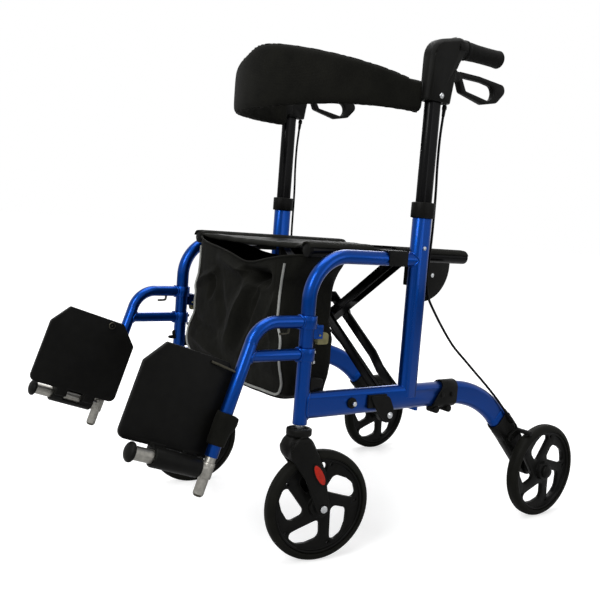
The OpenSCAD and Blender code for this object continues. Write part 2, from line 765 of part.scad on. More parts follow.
// Window between two swept spokes, wide beside one spoke and drawn out to a tail along the rim
module wheel_window() {
    translate([0, 0, -web_w]) linear_extrude(2 * web_w) hull()
        for (c = window_rounds) rotate(c[1]) translate([rim_r * c[0], 0]) circle(r = rim_r * c[2], $fn = 48);
}
module tyre(x, y) {
    round_r = 0.4 * tyre_w;
    inner_r = wheel_r - round_r;
    color(dark) translate([x, y, wheel_r]) rotate([0, 90, 0]) difference() {
        rotate_extrude() {
            translate([inner_r - tyre_t, -tyre_w / 2]) square([tyre_t, tyre_w]);
            translate([inner_r - tyre_t, -tyre_w / 2 + round_r])
                square([tyre_t + round_r, tyre_w - 2 * round_r]);
            for (s = [-1, 1]) translate([inner_r, s * (tyre_w / 2 - round_r)]) circle(r = round_r);
        }
        translate([0, 0, -tyre_w]) cylinder(r = rim_r + run / 2, h = 2 * tyre_w);
    }
}
module rear_bracket() {
    boss_out = rear_wheel_x - hub_half - hub_gap;
    color(dark) {
        difference() {
            union() {
                leg_tail_frame() translate([0, 0, leg_tail - socket_l + 10]) linear_extrude(socket_l)
                    oval(rail_h + 2 * socket_wall, rail_w + 2 * socket_wall);
                side_slab(frame_x, bracket_w) hull() {
                    translate([leg_arc_y, leg_arc_z]) rotate(-leg_turn) translate([0.9 * leg_tail, 0])
                        circle(r = rail_h / 2, $fn = 32);
                    translate([axle_y, wheel_r]) circle(r = boss_r, $fn = 32);
                }
                bar_along_x(2 * boss_r - 8, frame_x, boss_out, axle_y, wheel_r);
                bar_along_x(arm_pin_d, frame_x, arm_x + arm_t, arm_y, arm_z);
            }
            leg_tail_frame() linear_extrude(leg_tail + seat) oval(rail_h + seat, rail_w + seat);
            bar_along_x(rear_axle_d + run, frame_x - bracket_w, boss_out + past, axle_y, wheel_r);
        }
        leg_tail_frame() translate([anchor_x, -anchor_n, anchor_s]) cylinder(d = anchor_d, h = 18);
        leg_tail_frame() translate([rail_w / 2 + 2, -anchor_n - 3, anchor_s + 3])
            cube([anchor_x - rail_w / 2 - 2, 6, 12]);
    }
}
module brake_arm() {
    color(dark) {
        difference() {
            side_slab(arm_x + arm_t / 2, arm_t) difference() {
                hull() {
                    translate([arm_y, arm_z]) circle(r = 9, $fn = 32);
                    translate([shoe_y, shoe_z]) circle(r = shoe_r, $fn = 32);
                }
                translate([arm_y, arm_z]) circle(d = arm_pin_d + run);
            }
        }
        bar_along_x(2 * shoe_r, arm_x, rear_wheel_x + tyre_w / 2 - 2, shoe_y, shoe_z);
    }
}

module foot_frame() {
    translate([frame_x, bar_y, bar_z]) rotate([-leg_lean, 0, 0]) children();
}
module footrest_hanger() {
    ring_r = hoop_d / 2 + ring_wall;
    color(blue) difference() {
        union() {
            bar_along_y(hanger_d - run, frame_x, bend_y + bend_t, 0, hanger_z);
            side_arc(frame_x, bend_y + bend_t, hanger_z - hanger_bend_r, hanger_bend_r, 90, hanger_turn + 2)
                circle(d = hanger_d - run);
            foot_frame() translate([0, 0, leg_low_s]) cylinder(d = hanger_d, h = bend_end_s - leg_low_s);
            bar_along_y(hanger_d - 2, frame_x, strut_y, 0, strut_z);
            for (z = [hanger_z, strut_z])
                translate([frame_x, 0, z - ring_h / 2]) cylinder(r = ring_r, h = ring_h);
            for (s = [-1, 1])
                translate([frame_x + s * (latch_t / 2 + 2.5) - 2, 0, latch_z - 6]) cube([4, latch_y + 6, 24]);
        }
        for (z = [hanger_z, strut_z])
            translate([frame_x, 0, z - ring_h]) cylinder(d = hoop_d + 2 * run, h = 2 * ring_h);
        translate([frame_x, 0, latch_z - 30]) cylinder(d = hoop_d + 2 * run, h = 60);
        foot_frame() translate([0, 0, leg_low_s - past])
            cylinder(d = extension_d + run, h = bend_end_s - leg_low_s - 9);
        bar_along_x(latch_pin_d + run, frame_x - 20, frame_x + 20, latch_y, latch_z);
    }
}
module hanger_latch() {
    color(ivory) {
        side_slab(frame_x, latch_t) hull() {
            translate([latch_y, latch_z]) circle(r = 5, $fn = 32);
            translate([latch_y + 16, latch_z - 3]) circle(r = 7, $fn = 32);
            translate([latch_y + 18, latch_z - 12]) circle(r = 5, $fn = 32);
            translate([latch_y + 2, latch_z - 14]) circle(r = 3, $fn = 32);
        }
        bar_along_x(latch_pin_d, frame_x - latch_t / 2 - 6, frame_x + latch_t / 2 + 6, latch_y, latch_z);
    }
}
module leg_extension() {
    color(silver) foot_frame() {
        translate([0, 0, extension_low_s + 4])
            cylinder(d = extension_d, h = extension_top_s - extension_low_s - 4);
        translate([0, 0, extension_low_s]) cylinder(d1 = extension_d - 6, d2 = extension_d, h = 4);
        bar_along_y(bar_d, 0, -bar_l, 0, 0);
        translate([0, 0, -bar_d / 2 - 2]) cylinder(d = extension_d + 4, h = bar_d + 4);
        intersection() {
            translate([0, -bar_l, 0]) sphere(r = cap_r);
            translate([-cap_r, -bar_l - cap_r, -cap_r]) cube([2 * cap_r, cap_r + 6, 2 * cap_r]);
        }
    }
}
module footplate() {
    front = -plate_l + plate_rear;
    top = plate_low_s + plate_w;
    color(dark) foot_frame() difference() {
        union() {
            translate([-plate_off - plate_t, 0, 0]) rotate([90, 0, 90]) linear_extrude(plate_t) polygon([
                [plate_rear, plate_low_s], [plate_rear, top - plate_cut], [plate_rear - plate_cut, top],
                [front + 0.75 * plate_cut, top], [front, top - plate_cut], [front, plate_low_s]
            ]);
            bar_along_y(barrel_d, 0, -barrel_y1, -barrel_y0, 0);
            for (y = [-barrel_y1, -barrel_gap0])
                translate([-plate_off - plate_t, y, 0])
                    cube([plate_t + 8, barrel_y1 - barrel_gap1, plate_low_s + 4]);
        }
        bar_along_y(bar_d + run, 0, -barrel_y1 - past, -barrel_y0 + past, 0);
        translate([-barrel_d, -barrel_gap1, -6])
            cube([barrel_d, barrel_gap1 - barrel_gap0, barrel_d / 2 + 5]);
    }
}
module calf_strap() {
    color(black) foot_frame() translate([0, 0, cuff_s]) difference() {
        union() {
            translate([cuff_shift, cuff_shift, 0])
                cylinder(r = hanger_d / 2 + cuff_t + cuff_shift, h = cuff_l);
            translate([0, 0, cuff_l - 14]) cube([cuff_t * 2, hanger_d / 2 + 16, 14]);
        }
        translate([0, 0, -past]) cylinder(d = hanger_d + seat, h = cuff_l + 2 * past);
        translate([-hanger_d - plate_off + 0.4, -hanger_d, -past])
            cube([hanger_d, 3 * hanger_d, cuff_l + 2 * past]);
    }
}

// Rounded box outline of the bag, with its two sides lifted above its middle
function bag_ring(z, lift, a, y0, y1, round) = [
    for (i = [0 : 23])
        let (t = 360 * i / 24, c = cos(t), s = sin(t))
        [
            a * sign(c) * abs(c) ^ round,
            (y0 + y1) / 2 + (y1 - y0) / 2 * sign(s) * abs(s) ^ round,
            z + lift * c ^ 4
        ]
];
// Open pouch hung by its sides from the seat rails: its skin runs up the outside and down the inside
module under_seat_bag() {
    front = hoop_d / 2 - 14;
    hang = rail_point(seat_rail_d / 2 + seat, 228);
    lift = hang[1] - bag_z - bag_h;
    levels = [
        [0, 0.90 * bag_a, 6, 0], [0.03, bag_a, 0, 0],
        [0.25, 1.03 * bag_a, -14, 0], [0.55, 1.01 * bag_a, -6, 0],
        [0.85, bag_a, 0, 0], [1, hang[0], 0, lift]
    ];
    outside = [
        for (v = levels)
            let (depth = bag_floor + (bag_top - bag_floor) * v[0])
            bag_ring(bag_z + bag_h * v[0], v[3], v[1], front + v[2], front + depth, 0.4)
    ];
    inside = [
        for (i = [len(levels) - 1 : -1 : 1])
            let (v = levels[i], depth = bag_floor + (bag_top - bag_floor) * v[0])
            bag_ring(bag_z + bag_h * v[0], v[3], v[1] - bag_t,
                front + v[2] + bag_t, front + depth - bag_t, 0.4)
    ];
    color(black) skin(concat(outside, inside));
}
// Pad section across the backrest band: height h and thickness t, crowned on both faces
function pad_section(h, t) = [
    for (i = [0 : 11])
        let (a = 360 * i / 12, c = cos(a), s = sin(a))
        [t / 2 * sign(c) * abs(c) ^ 0.6, h / 2 + h / 2 * sign(s) * abs(s) ^ 0.45]
];
function back_ring(x, y, turn, share) = [
    for (p = pad_section(back_end_h + (back_mid_h - back_end_h) * share ^ 2.2, back_t))
        [x + p[0] * sin(turn), y + p[0] * cos(turn), back_low_z - back_dip * share + p[1]]
];
module backrest() {
    end_y = housing_front_y - back_gap;
    across = frame_x - back_in;
    ahead = back_reach - back_run_in;
    back_arc_y = end_y - back_run_in;
    arc = 24;
    path = concat(
        [[across, end_y, 90]],
        [
            for (i = [0 : arc])
                let (t = 180 * i / arc)
                [across * cos(t), back_arc_y - ahead * sin(t), atan2(ahead * cos(t), -across * sin(t))]
        ],
        [[-across, end_y, 270]]
    );
    color(black) skin([for (p = path) back_ring(p[0], p[1], p[2], (end_y - p[1]) / back_reach)]);
}

place() side_frame();  // left_side_frame
place_right() side_frame();  // right_side_frame
place() rear_leg();  // left_rear_leg
place_right() rear_leg();  // right_rear_leg
place() leg_clamp();  // left_leg_clamp
place_right() leg_clamp();  // right_leg_clamp
place() upright_collar();  // left_upright_collar
place_right() upright_collar();  // right_upright_collar
place() frame_clips();  // left_frame_clips
place_right() frame_clips();  // right_frame_clips
place() frame_bolts();  // left_frame_bolts
place_right() frame_bolts();  // right_frame_bolts
place() cable_guard();  // left_cable_guard
place_right() cable_guard();  // right_cable_guard
place() seat_rail();  // left_seat_rail
place_right() seat_rail();  // right_seat_rail
place() handle_tube();  // left_handle_tube
place_right() handle_tube();  // right_handle_tube
place() handle_housing();  // left_handle_housing
place_right() handle_housing();  // right_handle_housing
place() hand_grip();  // left_hand_grip
place_right() hand_grip();  // right_hand_grip
place() brake_lever();  // left_brake_lever
place_right() brake_lever();  // right_brake_lever
place() brake_cable();  // left_brake_cable
place_right() brake_cable();  // right_brake_cable
place() caster_fork(caster_turn);  // left_caster_fork
place_right() caster_fork(-caster_turn);  // right_caster_fork
place() caster_bolts(caster_turn);  // left_caster_bolts
place_right() caster_bolts(-caster_turn);  // right_caster_bolts
place() fork_reflector(caster_turn);  // left_fork_reflector
place_right() fork_reflector(-caster_turn);  // right_fork_reflector
place() caster_frame(caster_turn) wheel(0, trail, front_axle_d);  // left_front_wheel
place_right() caster_frame(-caster_turn) wheel(0, trail, front_axle_d);  // right_front_wheel
place() caster_frame(caster_turn) tyre(0, trail);  // left_front_tyre
place_right() caster_frame(-caster_turn) tyre(0, trail);  // right_front_tyre
place() rear_bracket();  // left_rear_bracket
place_right() rear_bracket();  // right_rear_bracket
place() brake_arm();  // left_brake_arm
place_right() brake_arm();  // right_brake_arm
place() wheel(rear_wheel_x, axle_y, rear_axle_d);  // left_rear_wheel
place_right() wheel(rear_wheel_x, axle_y, rear_axle_d);  // right_rear_wheel
place() tyre(rear_wheel_x, axle_y);  // left_rear_tyre
place_right() tyre(rear_wheel_x, axle_y);  // right_rear_tyre
place() footrest_hanger();  // left_footrest_hanger
place_right() footrest_hanger();  // right_footrest_hanger
place() hanger_latch();  // left_hanger_latch
place_right() hanger_latch();  // right_hanger_latch
place() leg_extension();  // left_leg_extension
place_right() leg_extension();  // right_leg_extension
place() footplate();  // left_footplate
place_right() footplate();  // right_footplate
place() calf_strap();  // left_calf_strap
place_right() calf_strap();  // right_calf_strap
place() cross_arm_a();
place() cross_arm_b();
place() brace_pivot();
place() seat_sling();
place() under_seat_bag();
place() backrest();
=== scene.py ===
"""Looks of a folding rollator that doubles as a transport chair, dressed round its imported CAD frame."""

import json
import math

import bmesh
import bpy
from mathutils import Matrix, Vector, kdtree, noise
from mathutils.bvhtree import BVHTree

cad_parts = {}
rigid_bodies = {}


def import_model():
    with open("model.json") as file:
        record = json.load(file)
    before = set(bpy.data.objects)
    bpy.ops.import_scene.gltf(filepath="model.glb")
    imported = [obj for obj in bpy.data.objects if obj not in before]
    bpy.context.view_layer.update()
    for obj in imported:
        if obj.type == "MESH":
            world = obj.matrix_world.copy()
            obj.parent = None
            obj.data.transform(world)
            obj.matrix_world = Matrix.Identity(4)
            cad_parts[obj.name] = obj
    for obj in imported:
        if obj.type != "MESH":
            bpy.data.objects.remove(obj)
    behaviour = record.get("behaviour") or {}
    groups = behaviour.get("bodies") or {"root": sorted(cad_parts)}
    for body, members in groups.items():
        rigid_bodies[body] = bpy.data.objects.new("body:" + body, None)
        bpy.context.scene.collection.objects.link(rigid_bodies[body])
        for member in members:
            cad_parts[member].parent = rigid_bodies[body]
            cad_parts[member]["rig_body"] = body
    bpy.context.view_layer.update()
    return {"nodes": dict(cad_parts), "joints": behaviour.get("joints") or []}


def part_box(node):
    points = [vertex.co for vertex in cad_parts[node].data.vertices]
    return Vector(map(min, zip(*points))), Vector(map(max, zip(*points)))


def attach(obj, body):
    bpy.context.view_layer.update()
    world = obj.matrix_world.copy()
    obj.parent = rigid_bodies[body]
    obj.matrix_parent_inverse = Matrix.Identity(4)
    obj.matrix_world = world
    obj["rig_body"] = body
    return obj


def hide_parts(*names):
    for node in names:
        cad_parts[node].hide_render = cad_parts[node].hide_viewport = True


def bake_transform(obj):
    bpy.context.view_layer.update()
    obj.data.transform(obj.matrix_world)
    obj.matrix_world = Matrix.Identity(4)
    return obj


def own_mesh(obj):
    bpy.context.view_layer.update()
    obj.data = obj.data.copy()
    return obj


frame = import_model()

bl_info = {
    "name": "Rollator transport chair",
    "version": (1, 0, 0),
    "blender": (4, 5, 0),
    "location": "3D View > Sidebar > Rollator",
    "description": "Dresses a packed folding rollator with finishes, cloth, cables and small fittings",
    "category": "Object",
}

JOINTS = {joint["name"]: joint for joint in frame["joints"]}
SIDES = {"left": 1, "right": -1}

# The front uprights stand this far from the frame's origin
FRONT = JOINTS["left_hanger_swing"]["pos_m"][1]
MM = 0.001

# In millimetres: the uprights from the middle plane, the seat rails' place, and the foot of the footrest's
# legs, which lean forward
TRACK = 230
RAIL_X, RAIL_Z = 194.5, 548
FOOT_Y, FOOT_Z = -180, 189
FOOT_LEAN = math.radians(18.5)
# The casters' turn at rest, and the bolt of the bottom rail, back and up
CASTER_TURN = math.radians(-10)
RAIL_BOLT = (104, 280)


def at(x, y, z):
    """Point given in millimetres from the middle plane, the front uprights and the floor."""
    return Vector((x * MM, y * MM + FRONT, z * MM))


# Settings that a user would change


class RollatorSizes(bpy.types.PropertyGroup):
    """Sizes of the soft pieces and small fittings."""

    cable_d: bpy.props.FloatProperty(
        name="Brake cable", description="Diameter of the brake cables", default=0.005, unit="LENGTH"
    )
    edge_round: bpy.props.FloatProperty(
        name="Edge round", description="Round on the edges of moulded parts", default=0.0011, unit="LENGTH"
    )
    weld_d: bpy.props.FloatProperty(
        name="Weld bead", description="Thickness of the weld beads", default=0.005, unit="LENGTH"
    )
    piping_d: bpy.props.FloatProperty(
        name="Piping", description="Thickness of the piping on the bag", default=0.0048, unit="LENGTH"
    )
    pad_swell: bpy.props.FloatProperty(
        name="Pad swell", description="Most that the pad swells on a side", default=0.006, unit="LENGTH"
    )


class RollatorColours(bpy.types.PropertyGroup):
    """Colours of the finishes, as sRGB hex values."""

    paint: bpy.props.StringProperty(name="Paint", description="Blue frame paint", default="#02357e")
    gloss_black: bpy.props.StringProperty(name="Black paint", description="Gloss black", default="#050506")
    plastic: bpy.props.StringProperty(name="Plastic", description="Black moulded plastic", default="#0c0c0b")
    tyre: bpy.props.StringProperty(name="Tyre", description="Grey-black tyre compound", default="#0d0d0a")
    cloth: bpy.props.StringProperty(name="Cloth", description="Black woven cloth", default="#0f0f0c")
    piping: bpy.props.StringProperty(name="Piping", description="Pale reflective piping", default="#8f908c")
    steel: bpy.props.StringProperty(name="Steel", description="Bright zinc plating", default="#b9bbbd")
    dull_steel: bpy.props.StringProperty(name="Dull steel", description="Rods and pins", default="#403e36")
    aluminium: bpy.props.StringProperty(name="Aluminium", description="Footrest tubes", default="#8f8d87")
    reflector: bpy.props.StringProperty(name="Reflector", description="Red reflector", default="#a81c08")
    ivory: bpy.props.StringProperty(name="Latch", description="Olive plastic of the latch", default="#7d7957")
    backdrop: bpy.props.StringProperty(name="Backdrop", description="Floor and background", default="#ffffff")


def sizes():
    """The sizes that a user may change."""
    return bpy.context.scene.rollator_sizes


def colour(name):
    """Linear colour of one of the named finishes."""
    return linear(getattr(bpy.context.scene.rollator_colours, name))


def linear(hex_value):
    """Linear colour with alpha from an sRGB hex value."""
    parts = [int(hex_value[i : i + 2], 16) / 255 for i in (1, 3, 5)]
    return tuple(c / 12.92 if c <= 0.04045 else ((c + 0.055) / 1.055) ** 2.4 for c in parts) + (1.0,)


# Materials


def add(tree, kind, settings=None, inputs=None):
    """Adds a node with its settings; inputs are values or sockets to link from."""
    node = tree.nodes.new(kind)
    for name, value in (settings or {}).items():
        setattr(node, name, value)
    for name, value in (inputs or {}).items():
        if isinstance(value, bpy.types.NodeSocket):
            tree.links.new(value, node.inputs[name])
        else:
            node.inputs[name].default_value = value
    return node


def start_material(name):
    """New material with a Principled shader on its output; returns it with its tree and the shader."""
    material = bpy.data.materials.new(name)
    material.use_nodes = True
    tree = material.node_tree
    tree.nodes.clear()
    shader = add(tree, "ShaderNodeBsdfPrincipled")
    output = add(tree, "ShaderNodeOutputMaterial")
    tree.links.new(shader.outputs[0], output.inputs["Surface"])
    return material, tree, shader


def mottle(tree, base, darker, lighter, scale):
    """Base colour that drifts between a darker and a lighter tone; scale is per metre."""
    coords = add(tree, "ShaderNodeTexCoord")
    place = coords.outputs["Object"]
    cloud = add(tree, "ShaderNodeTexNoise", None, {"Vector": place, "Scale": scale, "Detail": 3.0})
    tones = add(tree, "ShaderNodeValToRGB", None, {"Fac": cloud.outputs["Fac"]})
    low, high = tones.color_ramp.elements
    low.position, high.position = 0.3, 0.7
    low.color = [c * darker for c in base[:3]] + [1]
    high.color = [min(1, c * lighter) for c in base[:3]] + [1]
    return coords, tones.outputs["Color"]


def dressed(shader, tone, bump, settings):
    """Links a colour and a bump to a shader and sets its plain values."""
    tree = shader.id_data
    tree.links.new(tone, shader.inputs["Base Color"])
    if bump:
        tree.links.new(bump.outputs["Normal"], shader.inputs["Normal"])
    for name, value in settings.items():
        shader.inputs[name].default_value = value


def stove_enamel(name, base, flake, metal, gloss):
    """Sprayed and baked enamel: metal flakes in deep colour under a clear gloss, with faint orange peel."""
    material, tree, shader = start_material(name)
    # The flakes are drawn about 1 mm across so that they show, and orange peel is ripples of about 2 mm
    coords, tone = mottle(tree, base, 1 - flake, 1 + flake, 900)
    ripples = {"Vector": coords.outputs["Object"], "Scale": 1 / (2 * MM), "Detail": 1.0}
    peel = add(tree, "ShaderNodeTexNoise", None, ripples)
    relief = {"Height": peel.outputs["Fac"], "Strength": 0.06, "Distance": 0.0004}
    bump = add(tree, "ShaderNodeBump", None, relief)
    gleam = {"Metallic": metal, "Coat Weight": gloss, "Coat Roughness": 0.07}
    dressed(shader, tone, bump, {"Roughness": 0.3, "Specular IOR Level": 0.06, **gleam})
    return material


def moulded_plastic(name, base, roughness, grain):
    """Moulded nylon or ABS: satin skin with a fine spark-eroded grain, in patches of more and less gloss."""
    material, tree, shader = start_material(name)
    coords, tone = mottle(tree, base, 0.8, 1.25, 60)
    place = coords.outputs["Object"]
    # The grain is about 0.5 mm, drawn at 1 mm so that it shows
    sparks = add(tree, "ShaderNodeTexVoronoi", None, {"Vector": place, "Scale": 1 / MM})
    relief = {"Height": sparks.outputs["Distance"], "Strength": grain, "Distance": 0.0003}
    bump = add(tree, "ShaderNodeBump", None, relief)
    # Hands leave smears of about 30 mm
    smears = add(tree, "ShaderNodeTexNoise", None, {"Vector": place, "Scale": 35.0, "Detail": 4.0})
    limits = {"To Min": roughness - 0.06, "To Max": roughness + 0.08}
    rub = add(tree, "ShaderNodeMapRange", None, {"Value": smears.outputs["Fac"], **limits})
    tree.links.new(rub.outputs["Result"], shader.inputs["Roughness"])
    dressed(shader, tone, bump, {"Specular IOR Level": 0.07})
    return material


def foam_rubber(name, base):
    """Soft closed-cell grip: matt skin with fine pores."""
    material, tree, shader = start_material(name)
    coords, tone = mottle(tree, base, 0.8, 1.3, 120)
    # The pores are about 0.7 mm apart
    cells = {"Vector": coords.outputs["Object"], "Scale": 1400.0, "Detail": 2.0}
    pores = add(tree, "ShaderNodeTexNoise", None, cells)
    relief = {"Height": pores.outputs["Fac"], "Strength": 0.35, "Distance": 0.0004}
    bump = add(tree, "ShaderNodeBump", None, relief)
    dressed(shader, tone, bump, {"Roughness": 0.62, "Specular IOR Level": 0.07})
    return material


def tyre_compound(name, base):
    """Cast polyurethane tyre: dull grey-black with dusty scuffs on the tread."""
    material, tree, shader = start_material(name)
    coords, tone = mottle(tree, base, 0.75, 1.45, 45)
    # The scuffs are about 3 mm long
    marks = {"Vector": coords.outputs["Object"], "Scale": 300.0, "Detail": 4.0}
    scuffs = add(tree, "ShaderNodeTexNoise", None, marks)
    relief = {"Height": scuffs.outputs["Fac"], "Strength": 0.25, "Distance": 0.0006}
    bump = add(tree, "ShaderNodeBump", None, relief)
    dressed(shader, tone, bump, {"Roughness": 0.6, "Specular IOR Level": 0.07})
    return material


def bright_metal(name, base, smoothest, dullest):
    """Plated steel or drawn aluminium: clear metal with small dull patches."""
    material, tree, shader = start_material(name)
    coords, tone = mottle(tree, base, 0.8, 1.1, 150)
    # The patches are about 4 mm across
    patches = {"Vector": coords.outputs["Object"], "Scale": 260.0, "Detail": 5.0}
    dull = add(tree, "ShaderNodeTexNoise", None, patches)
    limits = {"To Min": smoothest, "To Max": dullest}
    rough = add(tree, "ShaderNodeMapRange", None, {"Value": dull.outputs["Fac"], **limits})
    tree.links.new(rough.outputs["Result"], shader.inputs["Roughness"])
    dressed(shader, tone, None, {"Metallic": 1.0})
    return material


def woven_nylon(name, base, thread, map_name):
    """Plain-woven nylon: matt threads over and under, with a little sheen; their spacing is in metres."""
    material, tree, shader = start_material(name)
    coords, tone = mottle(tree, base, 0.72, 1.4, 30)
    # The real threads are under 1 mm apart; they are drawn coarser so that the weave shows
    threads = {"Vector": coords.outputs[map_name], "Scale": 0.314 / thread, "Distortion": 1.0, "Detail": 1.0}
    across = add(tree, "ShaderNodeTexWave", {"bands_direction": "X"}, threads)
    along = add(tree, "ShaderNodeTexWave", {"bands_direction": "Y" if map_name == "UV" else "Z"}, threads)
    crossing = {0: across.outputs["Fac"], 1: along.outputs["Fac"]}
    weave = add(tree, "ShaderNodeMath", {"operation": "MULTIPLY"}, crossing)
    relief = {"Height": weave.outputs["Value"], "Strength": 0.4, "Distance": thread / 4}
    bump = add(tree, "ShaderNodeBump", None, relief)
    sheen = {"Sheen Weight": 0.01, "Sheen Roughness": 0.5}
    dressed(shader, tone, bump, {"Roughness": 0.7, "Specular IOR Level": 0.05, **sheen})
    return material


def lens_plastic(name, base):
    """Red acrylic reflector with moulded prisms of about 2.5 mm under a smooth face."""
    material, tree, shader = start_material(name)
    coords, tone = mottle(tree, base, 0.8, 1.2, 200)
    cells = {"Vector": coords.outputs["Object"], "Scale": 1 / (2.5 * MM)}
    prisms = add(tree, "ShaderNodeTexVoronoi", {"distance": "CHEBYCHEV"}, cells)
    relief = {"Height": prisms.outputs["Distance"], "Strength": 0.3, "Distance": 0.0005}
    bump = add(tree, "ShaderNodeBump", None, relief)
    face = {"Coat Weight": 0.08, "Coat Roughness": 0.06}
    dressed(shader, tone, bump, {"Roughness": 0.3, "Specular IOR Level": 0.15, **face})
    return material


# Each finish's slot in the record, its maker, its colour and the maker's settings
FINISHES = {
    "blue_enamel": ("blue_paint", stove_enamel, "paint", 0.10, 0.86, 0.12),
    "black_enamel": ("black_paint", stove_enamel, "gloss_black", 0.15, 0.0, 0.05),
    "black_nylon": ("black_plastic", moulded_plastic, "plastic", 0.46, 0.15),
    "wheel_nylon": ("black_plastic", moulded_plastic, "plastic", 0.42, 0.08),
    "ivory_abs": ("ivory_plastic", moulded_plastic, "ivory", 0.4, 0.08),
    "cable_pvc": ("cable_sheath", moulded_plastic, "gloss_black", 0.35, 0.05),
    "grip_foam": ("soft_grip", foam_rubber, "plastic"),
    "tyre_polyurethane": ("tyre", tyre_compound, "tyre"),
    "zinc_plate": ("bright_steel", bright_metal, "steel", 0.16, 0.4),
    "dull_steel": ("bright_steel", bright_metal, "dull_steel", 0.3, 0.5),
    "drawn_aluminium": ("bright_steel", bright_metal, "aluminium", 0.32, 0.5),
    "bag_nylon": ("black_cloth", woven_nylon, "cloth", 0.003, "UV"),
    "seat_nylon": ("black_cloth", woven_nylon, "cloth", 0.004, "UV"),
    "pad_cover": ("black_cloth", woven_nylon, "cloth", 0.0025, "UV"),
    "strap_webbing": ("black_cloth", woven_nylon, "cloth", 0.002, "Object"),
    "piping_tape": (None, woven_nylon, "piping", 0.002, "Object"),
    "red_acrylic": ("red_reflector", lens_plastic, "reflector"),
}


def finish(name):
    """The named material, made the first time that it is asked for."""
    _, make, tone, *settings = FINISHES[name]
    return bpy.data.materials.get(name) or make(name, colour(tone), *settings)


# Mesh helpers


def stand(name, data):
    """New object in the scene, made from its data."""
    thing = bpy.data.objects.new(name, data)
    bpy.context.scene.collection.objects.link(thing)
    return thing


def new_piece(name, mesh_or_bm, material):
    """New object at the origin from a mesh or a bmesh, with one material."""
    if isinstance(mesh_or_bm, bmesh.types.BMesh):
        mesh = bpy.data.meshes.new(name)
        mesh_or_bm.to_mesh(mesh)
        mesh_or_bm.free()
    else:
        mesh = mesh_or_bm
    piece = stand(name, mesh)
    mesh.materials.clear()
    mesh.materials.append(finish(material))
    return piece


def thicken(piece, thickness, side):
    """Gives a sheet a wall on one side of it, 1 or -1, or on both, 0."""
    wall = piece.modifiers.new("thickness", "SOLIDIFY")
    wall.thickness = thickness
    wall.offset = side


def smooth(piece, angle=40):
    """Shades a piece smooth, apart from edges sharper than an angle in degrees."""
    bm = bmesh.new()
    bm.from_mesh(piece.data)
    for face in bm.faces:
        face.smooth = True
    for edge in bm.edges:
        edge.smooth = len(edge.link_faces) != 2 or edge.calc_face_angle(0) < math.radians(angle)
    bm.to_mesh(piece.data)
    bm.free()
    return piece


def eased_copy(node, material, round_edge=None):
    """Stands for a CAD node: the same solid with its sharp edges eased by a small round."""
    source = frame["nodes"][node]
    bm = bmesh.new()
    bm.from_mesh(source.data)
    bmesh.ops.remove_doubles(bm, verts=bm.verts, dist=1e-5)
    for face in bm.faces:
        face.smooth = True
    piece = new_piece(node + "_moulding", bm, material)
    bevel = piece.modifiers.new("edge_round", "BEVEL")
    bevel.width = round_edge or sizes().edge_round
    bevel.segments = 2
    bevel.limit_method = "ANGLE"
    bevel.angle_limit = math.radians(32)
    bevel.use_clamp_overlap = False
    bevel.loop_slide = False
    bevel.harden_normals = True
    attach(piece, source["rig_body"])
    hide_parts(node)
    return piece


def draw_in(piece):
    """Fixes the edge round in the mesh, and draws in the few corner points that it throws off the surface."""
    bevel = piece.modifiers["edge_round"]
    mesh = piece.data
    surface = BVHTree.FromPolygons([v.co for v in mesh.vertices], [f.vertices[:] for f in mesh.polygons])
    depsgraph = bpy.context.evaluated_depsgraph_get()
    evaluated = piece.evaluated_get(depsgraph)
    rounded = bpy.data.meshes.new_from_object(evaluated, preserve_all_data_layers=True, depsgraph=depsgraph)
    # A true round stays within its own width of the surface
    off = {v.index for v in rounded.vertices if surface.find_nearest(v.co)[3] > 1.02 * bevel.width}
    for index in off:
        ends = [edge.vertices for edge in rounded.edges if index in edge.vertices]
        beside = [rounded.vertices[i].co for pair in ends for i in pair if i not in off]
        rounded.vertices[index].co = sum(beside, Vector()) / len(beside)
    piece.modifiers.remove(bevel)
    piece.data = rounded


def recolour(piece, material, test):
    """Gives the faces whose middle passes the test another material."""
    piece.data.materials.append(finish(material))
    slot = len(piece.data.materials) - 1
    for face in piece.data.polygons:
        if test(face.center):
            face.material_index = slot


def curve_tube(name, points, diameter, material, sides=3, cyclic=False, swell=None):
    """Round cord, rod or bead through points, as a mesh; swell is the thickness at each point as a share."""
    curve = bpy.data.curves.new(name, "CURVE")
    curve.dimensions = "3D"
    curve.bevel_depth = diameter / 2
    curve.bevel_resolution = sides
    curve.use_fill_caps = True
    spline = curve.splines.new("POLY")
    spline.points.add(len(points) - 1)
    for k, point in enumerate(points):
        spline.points[k].co = (*point, 1)
        spline.points[k].radius = swell[k] if swell else 1
    spline.use_cyclic_u = cyclic
    holder = stand(name + "_line", curve)
    bpy.context.view_layer.update()
    mesh = bpy.data.meshes.new_from_object(holder.evaluated_get(bpy.context.evaluated_depsgraph_get()))
    bpy.data.objects.remove(holder)
    bpy.data.curves.remove(curve)
    mesh.name = name
    piece = new_piece(name, mesh, material)
    return smooth(piece, 50)


def smooth_path(points, steps):
    """Points along a smooth curve through hand-placed points."""
    path = []
    for k in range(len(points) - 1):
        a, b = points[max(k - 1, 0)], points[k]
        c, d = points[k + 1], points[min(k + 2, len(points) - 1)]
        for i in range(steps):
            t = i / steps
            square, cube = 2 * a - 5 * b + 4 * c - d, 3 * b - a - 3 * c + d
            path.append(0.5 * (2 * b + (c - a) * t + square * t**2 + cube * t**3))
    return path + [points[-1]]


def path_length(path):
    """Length of a line of points."""
    return sum((b - a).length for a, b in zip(path, path[1:]))


def mirrored(points, sign):
    """Points moved to the side's half of the chair."""
    return [Vector((sign * p.x, p.y, p.z)) for p in points]


